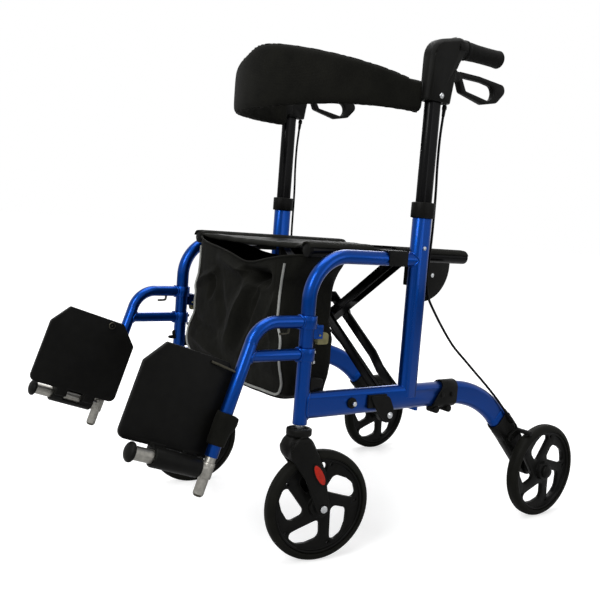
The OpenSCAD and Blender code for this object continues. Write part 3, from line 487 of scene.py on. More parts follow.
def formed_sheet(name, across, along, shape, material, flat):
    """Grid laid on shape(u, v), each from 0 to 1, with doubled edges merged; its UV map is the flat cloth."""
    bm = bmesh.new()
    bmesh.ops.create_grid(bm, x_segments=across, y_segments=along, size=0.5)
    threads = bm.loops.layers.uv.new("threads")
    for face in bm.faces:
        face.smooth = True
        for loop in face.loops:
            loop[threads].uv = ((loop.vert.co.x + 0.5) * flat[0], (loop.vert.co.y + 0.5) * flat[1])
    for vert in bm.verts:
        vert.co = shape(vert.co.x + 0.5, vert.co.y + 0.5)
    bmesh.ops.remove_doubles(bm, verts=bm.verts, dist=1e-5)
    bmesh.ops.recalc_face_normals(bm, faces=bm.faces)
    return new_piece(name, bm, material)


def turned(name, profile, place, axis, material, segments=28):
    """Lathe-turned piece: a profile of radius and height in millimetres, set at a place along an axis."""
    bm = bmesh.new()
    line = [bm.verts.new((r * MM, 0, z * MM)) for r, z in profile]
    edges = [bm.edges.new(pair) for pair in zip(line, line[1:])]
    lathe = {"axis": (0, 0, 1), "cent": (0, 0, 0), "angle": math.tau, "steps": segments}
    bmesh.ops.spin(bm, geom=line + edges, use_merge=True, **lathe)
    bmesh.ops.remove_doubles(bm, verts=bm.verts, dist=1e-6)
    bmesh.ops.recalc_face_normals(bm, faces=bm.faces)
    set_at(bm, place, axis)
    return smooth(new_piece(name, bm, material), 35)


def set_at(bm, place, axis):
    """Turns a bmesh from the upright onto an axis and moves it to its place."""
    turn = Vector((0, 0, 1)).rotation_difference(Vector(axis)).to_matrix().to_4x4()
    bmesh.ops.transform(bm, matrix=Matrix.Translation(place) @ turn, verts=bm.verts)


def hex_head(name, flats, height, place, axis, material):
    """Hexagon nut or bolt head across its flats, in millimetres, with its outer corners eased."""
    bm = bmesh.new()
    corner = flats / 2 / math.cos(math.pi / 6) * MM
    bmesh.ops.create_cone(bm, cap_ends=True, segments=6, radius1=corner, radius2=corner, depth=height * MM)
    bmesh.ops.translate(bm, vec=(0, 0, height / 2 * MM), verts=bm.verts)
    bmesh.ops.bevel(bm, geom=bm.edges[:], offset=0.0006, affect="EDGES", segments=2, profile=0.5, material=-1)
    set_at(bm, place, axis)
    return smooth(new_piece(name, bm, material), 25)


def cut_plate(name, outline, thickness, corner, material):
    """Flat plate on both sides of an outline, with rounded corners and eased edges; sizes in millimetres."""
    bm = bmesh.new()
    bm.faces.new([bm.verts.new(point) for point in outline])
    bmesh.ops.bevel(
        bm, geom=bm.verts[:], offset=corner * MM, affect="VERTICES", segments=6, profile=0.5, material=-1
    )
    plate = new_piece(name, bm, material)
    thicken(plate, thickness * MM, 0)
    bevel = plate.modifiers.new("edge_round", "BEVEL")
    bevel.width = 0.0008
    bevel.segments = 2
    bevel.limit_method = "ANGLE"
    return plate


def blended(t, low, high):
    """Smooth step of t from 0 at low to 1 at high."""
    t = min(1, max(0, (t - low) / (high - low)))
    return t * t * (3 - 2 * t)


def eased(t, table):
    """Value at t from a table of (t, value), with soft turns."""
    for (t0, a), (t1, b) in zip(table, table[1:]):
        if t <= t1:
            return a + (b - a) * blended(t, t0, t1)
    return table[-1][1]


def box_outline(u, spans, power):
    """Rounded box of half size 1 at u, 0 to 1: its -y, +x, +y and -x sides take spans of it in turn."""
    place = u * sum(spans)
    for side, span in enumerate(spans):
        if place <= span:
            break
        place -= span
    s = 2 * min(1, place / span) - 1
    x, y = ((s, -1), (1, s), (-s, 1), (-1, -s))[side]
    size = (abs(x) ** power + abs(y) ** power) ** (1 / power)
    return x / size, y / size


def caster_point(sign, out, back, z):
    """Point in a caster's frame: out from its middle plane, back from its swivel and up, in millimetres."""
    turn = sign * CASTER_TURN
    x = TRACK + out * math.cos(turn) - back * math.sin(turn)
    return at(sign * x, out * math.sin(turn) + back * math.cos(turn), z)


def foot_point(sign, out, forward, up):
    """Point in a footrest leg's frame: out from it, forward along the bar and up the leg, in millimetres."""
    along, rise = math.cos(FOOT_LEAN), math.sin(FOOT_LEAN)
    y = FOOT_Y - forward * along + up * rise
    z = FOOT_Z + forward * rise + up * along
    return at(sign * (TRACK + out), y, z)


# Makers of the pieces, in the order in which they run


class ROLLATOR_OT_stage(bpy.types.Operator):
    """Sets the pale floor, the soft studio light and the camera at the photograph's angle"""

    bl_idname = "rollator.stage"
    bl_label = "Stage"

    def execute(self, context):
        scene = context.scene
        scene.view_settings.view_transform = "Standard"
        self.camera(scene)
        self.world(scene)
        self.floor()
        self.lamps()
        return {"FINISHED"}

    def camera(self, scene):
        """Camera fitted to the tubes and wheels: it looks slightly down and is rolled a little."""
        yaw, pitch, roll = (math.radians(v) for v in (53.566, 5.5452, 4.3678))
        place = at(1300.5, -809.6, 593.5)
        # Focal length in pixels of the photograph, and the photograph's width
        focal_px, photo_px = 790.14, 600
        back = Vector((math.sin(yaw) * math.cos(pitch), -math.cos(yaw) * math.cos(pitch), math.sin(pitch)))
        level = (-back).cross(Vector((0, 0, 1))).normalized()
        upright = level.cross(-back)
        right = level * math.cos(roll) + upright * math.sin(roll)
        up = -level * math.sin(roll) + upright * math.cos(roll)
        data = bpy.data.cameras.new("photo_camera")
        data.sensor_width = 36
        data.lens = focal_px / photo_px * data.sensor_width
        data.clip_start = 0.05
        data.clip_end = 100
        camera = stand("photo_camera", data)
        turn = Matrix((right, up, back)).transposed().to_4x4()
        camera.matrix_world = Matrix.Translation(place) @ turn
        scene.camera = camera

    def world(self, scene):
        """White to the eye, in reflections and through glass, and a soft grey as light."""
        world = bpy.data.worlds.new("studio")
        scene.world = world
        world.use_nodes = True
        tree = world.node_tree
        tree.nodes.clear()
        rays = add(tree, "ShaderNodeLightPath").outputs
        seen = rays["Is Camera Ray"]
        for ray in ("Is Transmission Ray", "Is Glossy Ray"):
            either = add(tree, "ShaderNodeMath", {"operation": "MAXIMUM"}, {0: seen, 1: rays[ray]})
            seen = either.outputs["Value"]
        strength = add(tree, "ShaderNodeMapRange", None, {"Value": seen, "To Min": 0.21, "To Max": 1.0})
        light = {"Color": colour("backdrop"), "Strength": strength.outputs["Result"]}
        glow = add(tree, "ShaderNodeBackground", None, light)
        output = add(tree, "ShaderNodeOutputWorld")
        tree.links.new(glow.outputs[0], output.inputs["Surface"])

    def floor(self):
        """Wide pale floor that keeps a soft shadow."""
        bm = bmesh.new()
        bmesh.ops.create_grid(bm, x_segments=1, y_segments=1, size=40)
        mesh = bpy.data.meshes.new("floor")
        bm.to_mesh(mesh)
        bm.free()
        floor = stand("floor", mesh)
        material = bpy.data.materials.new("floor_paper")
        material.use_nodes = True
        tree = material.node_tree
        tree.nodes.clear()
        paper = add(tree, "ShaderNodeBsdfDiffuse", None, {"Color": (0.75, 0.75, 0.75, 1)})
        veil = add(tree, "ShaderNodeBsdfDiffuse", None, {"Color": (0.6, 0.6, 0.6, 1)})
        # The floor glows more further out, so that it ends in white, and less near the chair's shadow
        coords = add(tree, "ShaderNodeTexCoord")
        away = add(tree, "ShaderNodeVectorMath", {"operation": "LENGTH"}, {0: coords.outputs["Object"]})
        limits = {"From Min": 0.8, "From Max": 3.0, "To Min": 0.64, "To Max": 0.91}
        strength = add(tree, "ShaderNodeMapRange", None, {"Value": away.outputs["Value"], **limits})
        light = {"Color": colour("backdrop"), "Strength": strength.outputs["Result"]}
        glow = add(tree, "ShaderNodeEmission", None, light)
        shown = add(tree, "ShaderNodeAddShader", None, {0: veil.outputs[0], 1: glow.outputs[0]})
        rays = add(tree, "ShaderNodeLightPath").outputs
        layers = {"Fac": rays["Is Camera Ray"], 1: paper.outputs[0], 2: shown.outputs[0]}
        mix = add(tree, "ShaderNodeMixShader", None, layers)
        output = add(tree, "ShaderNodeOutputMaterial")
        tree.links.new(mix.outputs[0], output.inputs["Surface"])
        mesh.materials.append(material)

    def lamps(self):
        """Big soft boxes: a key high to the camera's left, a fill to its right, one above and one behind."""
        # Name, place in millimetres, width and height in metres, and power in watts
        boxes = [
            ("key_box", (1500, -3000, 2700), 1.4, 1.8, 85),
            ("fill_box", (3200, 1500, 1400), 1.2, 2.0, 14),
            ("top_box", (-200, 0, 3200), 2.4, 2.4, 80),
            ("rim_box", (-2400, 1800, 1900), 1.2, 2.0, 40),
        ]
        target = at(0, 150, 450)
        for name, place, width, height, power in boxes:
            data = bpy.data.lights.new(name, "AREA")
            data.shape = "RECTANGLE"
            data.size = width
            data.size_y = height
            data.energy = power
            lamp = stand(name, data)
            lamp.location = at(*place)
            aim = target - lamp.location
            lamp.rotation_euler = aim.to_track_quat("-Z", "Y").to_euler()


# Points of the left brake cable, from the handle housing to the rear bracket
CABLE_ROUTE = [
    (230, 282, 833), (230, 280, 810), (230, 277, 770), (230, 277, 720), (230, 279, 680),
    (230, 280, 640), (230, 280, 600), (229, 280, 560), (226, 281, 525), (222, 286, 495),
    (219, 297, 468), (220, 318, 438), (221, 345, 405), (223, 375, 372), (226, 408, 344),
    (230, 442, 315), (234, 474.9, 287.2), (242, 501.9, 259.2), (247, 523.9, 235.2), (250, 538.9, 220.2),
]


class ROLLATOR_OT_brake_cables(bpy.types.Operator):
    """Runs a brake cable from each handle housing down to its rear bracket"""

    bl_idname = "rollator.brake_cables"
    bl_label = "Brake cables"

    def execute(self, context):
        diameter = sizes().cable_d
        for side, sign in SIDES.items():
            path = smooth_path(mirrored([at(*p) for p in CABLE_ROUTE], sign), 4)
            cable = curve_tube(f"{side}_cable_sheath", path, diameter, "cable_pvc")
            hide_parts(f"{side}_brake_cable")
            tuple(path[0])
            path_length(path)
            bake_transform(cable)
            self.ferrule(f"{side}_upper_ferrule", path[0], path[4] - path[0], f"{side}_handle")
            self.ferrule(f"{side}_lower_ferrule", path[-1], path[-5] - path[-1], f"{side}_frame")
        return {"FINISHED"}

    def ferrule(self, name, end, direction, body):
        """Tapered end sleeve with an adjuster collar, on the last stretch of the sheath."""
        profile = [(2.6, 22), (3.1, 20), (3.6, 9), (4.6, 8.4), (4.6, 3), (4.0, 2.4), (4.0, 0.4), (2.6, 0.2)]
        sleeve = turned(name, profile, end, direction, "cable_pvc", 20)
        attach(sleeve, body)


class ROLLATOR_OT_enamelled_tubes(bpy.types.Operator):
    """Enamels the side frames, rear legs, footrest hangers, handle tubes, seat rails and cross brace"""

    bl_idname = "rollator.enamelled_tubes"
    bl_label = "Enamelled tubes"

    def execute(self, context):
        for side in SIDES:
            for part in ("side_frame", "rear_leg", "footrest_hanger"):
                eased_copy(f"{side}_{part}", "blue_enamel", 0.0006)
            for part in ("handle_tube", "seat_rail"):
                eased_copy(f"{side}_{part}", "black_enamel", 0.0006)
        for part in ("cross_arm_a", "cross_arm_b"):
            eased_copy(part, "black_enamel", 0.0012)
        return {"FINISHED"}


class ROLLATOR_OT_weld_beads(bpy.types.Operator):
    """Runs rippled weld beads round the joints of the side frames and footrest hangers"""

    bl_idname = "rollator.weld_beads"
    bl_label = "Weld beads"

    # Heights of the hanger's two tubes at the front upright, in millimetres
    hanger_z, strut_z = 427, 371

    def execute(self, context):
        for side, sign in SIDES.items():
            body, swing = f"{side}_frame", f"{side}_hanger"
            self.bead(f"{side}_top_rail_weld", sign, self.top_rail, body)
            self.bead(f"{side}_low_rail_weld", sign, self.low_rail, body)
            for part, z in (("hanger", self.hanger_z), ("strut", self.strut_z)):
                self.bead(f"{side}_{part}_ring_weld", sign, lambda a, z=z: self.ring_joint(a, z), swing)
            self.bead(f"{side}_strut_weld", sign, self.strut, swing)
        return {"FINISHED"}

    def bead(self, name, sign, loop, body, ripples=56):
        """Bead along a loop, which gives a left-hand point in millimetres at an angle."""
        points = mirrored([at(*loop(math.tau * k / ripples)) for k in range(ripples)], sign)
        swell = [0.8 + 0.2 * (k % 2) + 0.12 * noise.noise(points[k] * 90) for k in range(ripples)]
        weld = curve_tube(name, points, sizes().weld_d, "blue_enamel", 2, True, swell)
        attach(weld, body)

    def top_rail(self, a):
        """Where the top rail's round end meets the rear upright's rounded front."""
        rail_r, rail_z, upright_r, upright_y = 12.9, 541, 14, 244
        x = rail_r * math.cos(a)
        return TRACK + x, upright_y - math.sqrt(upright_r**2 - x**2), rail_z + rail_r * math.sin(a)

    def low_rail(self, a):
        """Where the bottom rail's oval end meets the round front upright."""
        rail_r, half_straight, rail_z, upright_r = 12.2, 11.5, 280, 12.9
        x, rise = rail_r * math.cos(a), math.sin(a)
        z = rail_r * rise + math.copysign(half_straight, rise) * min(1, abs(rise) * 6)
        return TRACK + x, math.sqrt(upright_r**2 - x**2), rail_z + z

    def ring_joint(self, a, z):
        """Where a hanger tube meets the ring that turns on the front upright."""
        tube_r, ring_r = 10.9, 16.9
        x = tube_r * math.cos(a)
        return TRACK + x, -math.sqrt(ring_r**2 - x**2), z + tube_r * math.sin(a)

    def strut(self, a):
        """Where the hanger's lower strut meets its leg."""
        strut_r, leg_r = 10.2, 11.2
        x, z = strut_r * math.cos(a), self.strut_z + strut_r * math.sin(a)
        leg_y = FOOT_Y + (z - FOOT_Z) * math.tan(FOOT_LEAN)
        return TRACK + x, leg_y + math.sqrt(leg_r**2 - x**2) / math.cos(FOOT_LEAN), z


def raise_guard(piece):
    """Lets the cable guard reach up to the seat rail."""
    low, high, lift = 525 * MM, 531 * MM, 5 * MM
    for vert in piece.data.vertices:
        vert.co.z += lift * blended(vert.co.z, low, high)


def slant_clamp(piece):
    """Leans the front edge of the leg clamp back."""
    front, low, high, slant = at(0, 316, 0).y, 262 * MM, 304 * MM, 22 * MM
    for vert in piece.data.vertices:
        if vert.co.y < front:
            vert.co.y += slant * blended(vert.co.z, low, high)


def round_plate(piece):
    """Rounds the footplate's lower corners."""
    bm = bmesh.new()
    bm.from_mesh(piece.data)
    flat = [edge for edge in bm.edges if edge.calc_face_angle(1) < 0.01]
    bmesh.ops.dissolve_edges(bm, edges=flat, use_verts=False)
    corners = [foot_point(1, 0, forward, 14) for forward in (163, -22)]
    near = 0.8 * MM
    edges = [
        edge
        for edge in bm.edges
        if any(all((v.co - corner).yz.length < near for v in edge.verts) for corner in corners)
    ]
    bmesh.ops.bevel(bm, geom=edges, offset=0.013, affect="EDGES", segments=7, profile=0.5, material=-1)
    for face in bm.faces:
        face.smooth = True
    bm.to_mesh(piece.data)
    bm.free()


TRIMS = {"cable_guard": raise_guard, "leg_clamp": slant_clamp, "footplate": round_plate}


class ROLLATOR_OT_moulded_parts(bpy.types.Operator):
    """Gives the moulded plastic parts their eased edges and finish"""

    bl_idname = "rollator.moulded_parts"
    bl_label = "Moulded parts"

    # Each part's finish, and the round on its edges where it isn't the usual one
    parts = {
        "leg_clamp": ("black_nylon", None), "upright_collar": ("black_nylon", 0.0016),
        "frame_clips": ("black_nylon", None), "cable_guard": ("black_nylon", None),
        "handle_housing": ("black_nylon", 0.0018), "brake_lever": ("black_nylon", 0.0028),
        "caster_fork": ("black_nylon", 0.0022), "rear_bracket": ("black_nylon", 0.0018),
        "brake_arm": ("black_nylon", None), "footplate": ("black_nylon", 0.0022),
        "hanger_latch": ("ivory_abs", 0.0016),
    }

    def execute(self, context):
        for side in SIDES:
            for part, (material, round_edge) in self.parts.items():
                piece = eased_copy(f"{side}_{part}", material, round_edge)
                if part in TRIMS:
                    TRIMS[part](piece)
                draw_in(piece)
        return {"FINISHED"}


class ROLLATOR_OT_reflectors(bpy.types.Operator):
    """Sets a domed oval reflector in a dark bezel on each caster fork"""

    bl_idname = "rollator.reflectors"
    bl_label = "Reflectors"

    # Half its length and width, its bulge, and its place out from the caster, back and up, in millimetres
    half_long, half_wide, bulge = 22, 8, 2.6
    out, back, up = 25.2, 34, 162
    tilt = math.radians(30)

    def execute(self, context):
        for side, sign in SIDES.items():
            name, size = f"{side}_reflector_lens", (0.1, 0.02)
            lens = formed_sheet(name, 40, 10, lambda u, v: self.dome(sign, u, v), "red_acrylic", size)
            rim = [self.dome(sign, k / 40, 0.985) for k in range(40)]
            bezel = curve_tube(f"{side}_reflector_bezel", rim, 0.0024, "black_nylon", 2, True)
            for piece in (lens, bezel):
                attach(piece, f"{side}_caster")
            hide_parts(f"{side}_fork_reflector")
        return {"FINISHED"}

    def dome(self, sign, u, v):
        """Point of the lens, round its middle by u and out to its rim by v."""
        a = math.tau * u
        along, wide = self.half_long * v * math.cos(a), self.half_wide * v * math.sin(a)
        out = self.out + self.bulge * math.sqrt(max(0, 1 - v**2.4))
        back = self.back - along * math.sin(self.tilt) + wide * math.cos(self.tilt)
        up = self.up + along * math.cos(self.tilt) + wide * math.sin(self.tilt)
        return caster_point(sign, out, back, up)


class ROLLATOR_OT_wheels(bpy.types.Operator):
    """Dresses the front and rear wheels and their tyres, with a cap on each rear hub"""

    bl_idname = "rollator.wheels"
    bl_label = "Wheels"

    def execute(self, context):
        for side, sign in SIDES.items():
            for end in ("front", "rear"):
                eased_copy(f"{side}_{end}_wheel", "wheel_nylon", 0.0016)
                eased_copy(f"{side}_{end}_tyre", "tyre_polyurethane", 0.0008)
            low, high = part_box(f"{side}_rear_wheel")
            middle = (Vector(low) + Vector(high)) / 2
            face = high[0] if sign > 0 else low[0]
            # Radius and distance from the wheel's face
            profile = [(0, 9.4), (6, 9.0), (11, 7.4), (13.4, 5.2), (14, 3), (14, 0)]
            place = Vector((face, middle.y, middle.z))
            cap = turned(f"{side}_hub_cap", profile, place, (sign, 0, 0), "wheel_nylon")
            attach(cap, f"{side}_driver")
        return {"FINISHED"}


class ROLLATOR_OT_grips(bpy.types.Operator):
    """Dresses the foam hand grips"""

    bl_idname = "rollator.grips"
    bl_label = "Hand grips"

    def execute(self, context):
        # Radius and distance from the housing: a flared collar, a long waist and a thin end flange
        profile = [
            (12, 0), (18.0, 0), (18.6, 1.2), (18.6, 5.5), (17.6, 7), (16.9, 10), (17.2, 15), (16.9, 22),
            (16.3, 34), (16.1, 54), (16.2, 76), (16.5, 90), (16.8, 95), (17.2, 97), (17.2, 99.5), (16.4, 101),
            (13.5, 102), (9, 102.6), (8.6, 101.8), (0, 101.6),
        ]
        for side, sign in SIDES.items():
            place = at(sign * TRACK, 316, 940)
            grip = turned(f"{side}_foam_grip", profile, place, (0, 1, 0), "grip_foam", 48)
            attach(grip, f"{side}_handle")
            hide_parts(f"{side}_hand_grip")
        return {"FINISHED"}


class ROLLATOR_OT_leg_cuffs(bpy.types.Operator):
    """Wraps a webbing cuff with a pinched flap round each footrest leg"""

    bl_idname = "rollator.leg_cuffs"
    bl_label = "Leg cuffs"

    # Its low edge above the leg's foot, height, radius and flap, in millimetres
    low, tall, radius, flap = 42, 54, 15.8, 11

    def execute(self, context):
        for side, sign in SIDES.items():
            name, size = f"{side}_leg_cuff", (0.11, 0.054)
            cuff = formed_sheet(name, 72, 26, lambda u, v: self.shape(sign, u, v), "strap_webbing", size)
            thicken(cuff, 0.0022, -1)
            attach(cuff, f"{side}_hanger")
            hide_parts(f"{side}_calf_strap")
        return {"FINISHED"}

    def shape(self, sign, u, v):
        """Point of the cuff, round the leg by u and up it by v; the flap stands out behind."""
        a = math.tau * u
        up = self.low + self.tall * v
        back = max(0, -math.sin(a)) ** 5
        flap = self.flap * back * blended(up, 50, 88)
        fold = 0.5 * noise.noise(Vector((3 * math.cos(a), 3 * math.sin(a), up / 12)))
        r = self.radius + flap + fold - 0.9 * (2 * v - 1) ** 6
        return foot_point(sign, r * math.cos(a), r * math.sin(a), up - 5 * back * v)


class ROLLATOR_OT_bright_parts(bpy.types.Operator):
    """Plates the bolts, pins, axles and footrest bars"""

    bl_idname = "rollator.bright_parts"
    bl_label = "Bright parts"

    def execute(self, context):
        for side, sign in SIDES.items():
            eased_copy(f"{side}_caster_bolts", "zinc_plate", 0.0006)
            bolts = eased_copy(f"{side}_frame_bolts", "zinc_plate", 0.0006)
            # The rail bolt's washer, the leg clamp's bolts and the rear axle are black
            rail, washer_r, rear = at(0, *RAIL_BOLT), 11 * MM, at(0, 320, 0).y
            recolour(bolts, "black_nylon", lambda c: c.y > rear or (c - rail).yz.length < washer_r)
            bar = eased_copy(f"{side}_leg_extension", "drawn_aluminium", 0.001)
            # The bar ends in a black cap, which is a low dome
            root, tip = foot_point(sign, 0, 0, 0), foot_point(sign, 0, 144, 0)
            ahead = (tip - root).normalized()
            cap, dome = 6.5 * MM, 6 * MM
            recolour(bar, "black_nylon", lambda c: (c - tip).dot(ahead) > -cap)
            for vert in bar.data.vertices:
                past = (vert.co - tip).dot(ahead) + dome
                if past > 0:
                    vert.co -= ahead * past * 0.5
            # The tube is painted dark from 38 mm below the bar downwards, as shade on its lower end
            foot, leg = foot_point(sign, 0, 0, -38), foot_point(sign, 0, 0, 1) - root
            recolour(bar, "dull_steel", lambda c: (c - foot).dot(leg) < 0)
        eased_copy("brace_pivot", "zinc_plate", 0.0006)
        return {"FINISHED"}


class ROLLATOR_OT_seat_cloth(bpy.types.Operator):
    """Stretches the seat cloth between the two seat rails, with a turned hem at its front and back"""

    bl_idname = "rollator.seat_cloth"
    bl_label = "Seat cloth"

    # Its front edge, depth and hems, the radius of its wrap round the rails, and the saddles' place, in
    # millimetres; then the angle where the wrap ends, in degrees
    front, deep, hem = 21, 378, 8
    wrap_r, saddle_y = 13.2, 187
    wrap_end = 20

    def execute(self, context):
        width, length = self.measure(), (self.deep + 2 * self.hem) * MM
        cloth = formed_sheet("seat_cloth", 120, 96, self.shape, "seat_nylon", (width, length))
        thicken(cloth, 0.0024, 1)
        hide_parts("seat_sling")
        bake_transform(cloth)
        return {"FINISHED"}

    def section(self, wrap, sag):
        """Points across the seat from rail to rail, in millimetres; wrap is the angle where it ends."""
        turns = [math.radians(wrap + (150 - wrap) * k / 24) for k in range(25)]
        near = [(RAIL_X + self.wrap_r * math.cos(a), RAIL_Z + self.wrap_r * math.sin(a)) for a in turns]
        half, top = near[-1]
        span = [(half * (1 - k / 36), top - sag * (1 - (1 - k / 36) ** 2)) for k in range(1, 36)]
        line = near + span + [(0, top - sag)]
        return line + [(-x, z) for x, z in reversed(line[:-1])]

    def measure(self):
        """Width of the cloth when flat."""
        line = [Vector((x * MM, z * MM)) for x, z in self.section(self.wrap_end, 5)]
        return path_length(line)

    def shape(self, u, v):
        """Point of the cloth, across by u and back by v; it is cut back at the rails' saddles."""
        reach = v * (self.deep + 2 * self.hem) - self.hem
        y = self.front + min(self.deep, max(0, reach))
        saddle = 1 - blended(abs(y - self.saddle_y), 24, 34)
        sag = 1 + 4 * math.sin(math.pi * (y - self.front) / self.deep)
        line = self.section(self.wrap_end + 55 * saddle, sag)
        place = u * (len(line) - 1)
        k = min(int(place), len(line) - 2)
        (x0, z0), (x1, z1) = line[k], line[k + 1]
        x, z = x0 + (x1 - x0) * (place - k), z0 + (z1 - z0) * (place - k)
        # The hems at the front and back turn down, and run on along the rails
        drop = max(0, -reach, reach - self.deep)
        span = 1 - blended(abs(x), 150, 182)
        z -= drop * (0.15 + 0.85 * span) * 0.9
        y += math.copysign(1, v - 0.5) * (3.0 * (1 - math.exp(-drop / 3)) + (1 - span) * drop)
        # Pulls run from the rails into the cloth, and the weave ripples along the hems
        pull = noise.noise(Vector((y / 34, 7.3, 0))) * 2.2 * blended(abs(x), 40, 150) * span
        ripple = noise.noise(Vector((x / 26, y / 30, 3.1))) * 1.1 * span
        return at(x, y, z + pull + ripple)


class ROLLATOR_OT_backrest(bpy.types.Operator):
    """Sews the padded backrest band, swelled by a short cloth simulation, with a corded seam on each edge"""

    bl_idname = "rollator.backrest"
    bl_label = "Backrest"

    # Shares of the outline that its edges and faces take
    spans = (5, 16, 5, 16)

    def execute(self, context):
        pad = formed_sheet("backrest_pad", 42, 130, self.shape, "pad_cover", (0.25, 0.7))
        seams = {edge: self.nearest(pad, edge) for edge in ("top", "low")}
        sewn = {k for indices in seams.values() for k in indices}
        ends = at(0, 200, 0).y
        held = [vert.index for vert in pad.data.vertices if vert.index in sewn or vert.co.y > ends]
        swell(pad, held, 2.5, sizes().pad_swell)
        for edge, indices in seams.items():
            path = [pad.data.vertices[k].co.copy() for k in indices]
            seam = curve_tube(f"backrest_{edge}_seam", path, 0.0026, "strap_webbing", 2)
            self.hang(seam)
        finer = pad.modifiers.new("finer", "SUBSURF")
        finer.levels = finer.render_levels = 1
        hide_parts("backrest")
        self.hang(pad)
        return {"FINISHED"}

    def hang(self, piece):
        """Fixes a piece to the left handle."""
        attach(piece, "left_handle")
        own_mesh(piece)

    def place(self, v):
        """Middle line of the band, its outward direction, its low edge and its height, in millimetres."""
        across, ahead, ends = 216, 196, 0.04
        a = math.pi * min(1, max(0, (v - ends) / (1 - 2 * ends)))
        x = across * math.cos(a)
        y = 205 - ahead * math.sin(a) + 27 * max(0, ends - v, v - 1 + ends) / ends
        out = Vector((ahead * math.cos(a), -across * math.sin(a))).normalized()
        share = min(1, (221 - y) / 212)
        low = 812 - 9 * max(0, share) ** 4
        # The top edge rises along each half to a soft level, and the right half lies a little lower
        corner_z, slope, highest, soft, level = 870, 0.67, 923, 4, 900
        turn = math.degrees(a)
        near, far = corner_z + slope * turn, corner_z + slope * (180 - turn)
        far -= 14 * blended(turn, 80, 104) * (1 - blended(turn, 150, 180))
        top = level - soft * math.log(sum(math.exp((level - edge) / soft) for edge in (near, far, highest)))
        return x, y, out.x, out.y, low, top - low

    def shape(self, u, v):
        """Point of the pad, round its section by u and along it by v."""
        x, y, out_x, out_y, low, height = self.place(v)
        thick, high = box_outline(u, self.spans, 4)
        # The ends close to a line, and are thick enough to hold the tabs of the handle housings
        end = math.sqrt(min(1, min(v, 1 - v) / 0.008))
        depth = thick * (7.6 + 3.8 * blended(y, 196, 216)) * end
        rise = high * (height / 2 - 1.5) * (0.35 + 0.65 * end)
        return at(x + out_x * depth, y + out_y * depth, low + height / 2 + rise)

    def nearest(self, pad, edge):
        """Indices of the pad's vertices along its top or low seam."""
        tree = kdtree.KDTree(len(pad.data.vertices))
        for vert in pad.data.vertices:
            tree.insert(vert.co, vert.index)
        tree.balance()
        half_turn = self.spans[0] + self.spans[1] if edge == "top" else 0
        u = (self.spans[0] / 2 + half_turn) / sum(self.spans)
        return [tree.find(self.shape(u, k / 130))[1] for k in range(1, 130)]


def swell(piece, held, pressure, cap):
    """Swells a padded piece with a short cloth simulation that holds some points; none moves past the cap."""
    start = [vert.co.copy() for vert in piece.data.vertices]
    piece.vertex_groups.new(name="held").add(held, 1.0, "REPLACE")
    cloth = piece.modifiers.new("swelling", "CLOTH")
    settings = cloth.settings
    settings.quality = 6
    settings.mass = 0.3
    settings.tension_stiffness = 20
    settings.compression_stiffness = 20
    settings.use_pressure = True
    settings.uniform_pressure_force = pressure
    settings.vertex_group_mass = "held"
    settings.effector_weights.gravity = 0
    first, last = 1, 20
    cloth.point_cache.frame_start = first
    cloth.point_cache.frame_end = last
    scene = bpy.context.scene
    for step in range(first, last + 1):
        scene.frame_set(step)
    evaluated = piece.evaluated_get(bpy.context.evaluated_depsgraph_get())
    moved = [vert.co.copy() for vert in evaluated.to_mesh().vertices]
    evaluated.to_mesh_clear()
    piece.modifiers.remove(cloth)
    scene.frame_set(first)
    for vert, a, b in zip(piece.data.vertices, start, moved):
        step = b - a
        vert.co = a + step * min(1, cap / max(step.length, 1e-9))
    piece.vertex_groups.clear()
    piece.data.update()


# Folds of the bag's front, as lines of points across and up the panel, each with how far it stands out in
# millimetres; then the fold's width, and whether it is a crisp crease
BAG_FOLDS = [
    ([(0.30, 0.93, 6), (0.45, 0.90, 13), (0.60, 0.88, 15)], 24, True),
    ([(0.60, 0.885, -22), (0.70, 0.86, -34), (0.80, 0.845, -20)], 26, False),
    ([(0.68, 0.84, -18), (0.645, 0.79, -6)], 18, False),
    ([(0.64, 0.79, 11), (0.58, 0.64, 16), (0.52, 0.51, 14), (0.465, 0.345, 6)], 34, True),
    ([(0.71, 0.72, -9), (0.62, 0.50, -12), (0.56, 0.33, -6)], 22, False),
    ([(0.75, 0.79, 5), (0.68, 0.66, 7), (0.64, 0.54, 3)], 10, True),
    ([(0.03, 0.68, 6), (0.12, 0.75, 10), (0.23, 0.81, 5)], 15, True),
    ([(0.22, 0.77, -8), (0.23, 0.70, -11), (0.22, 0.62, -5)], 12, False),
    ([(0.28, 0.80, -3), (0.34, 0.62, -7), (0.42, 0.44, -3)], 20, False),
    ([(0.04, 0.46, -4), (0.16, 0.38, -7), (0.34, 0.34, -3)], 15, False),
    ([(0.08, 0.28, 3), (0.28, 0.20, 6), (0.50, 0.12, 3)], 15, True),
    ([(0.88, 0.40, -2), (0.78, 0.26, -5), (0.60, 0.12, -2)], 18, False),
    ([(0.93, 0.72, 3), (0.86, 0.55, 4), (0.88, 0.36, 2)], 16, True),
]


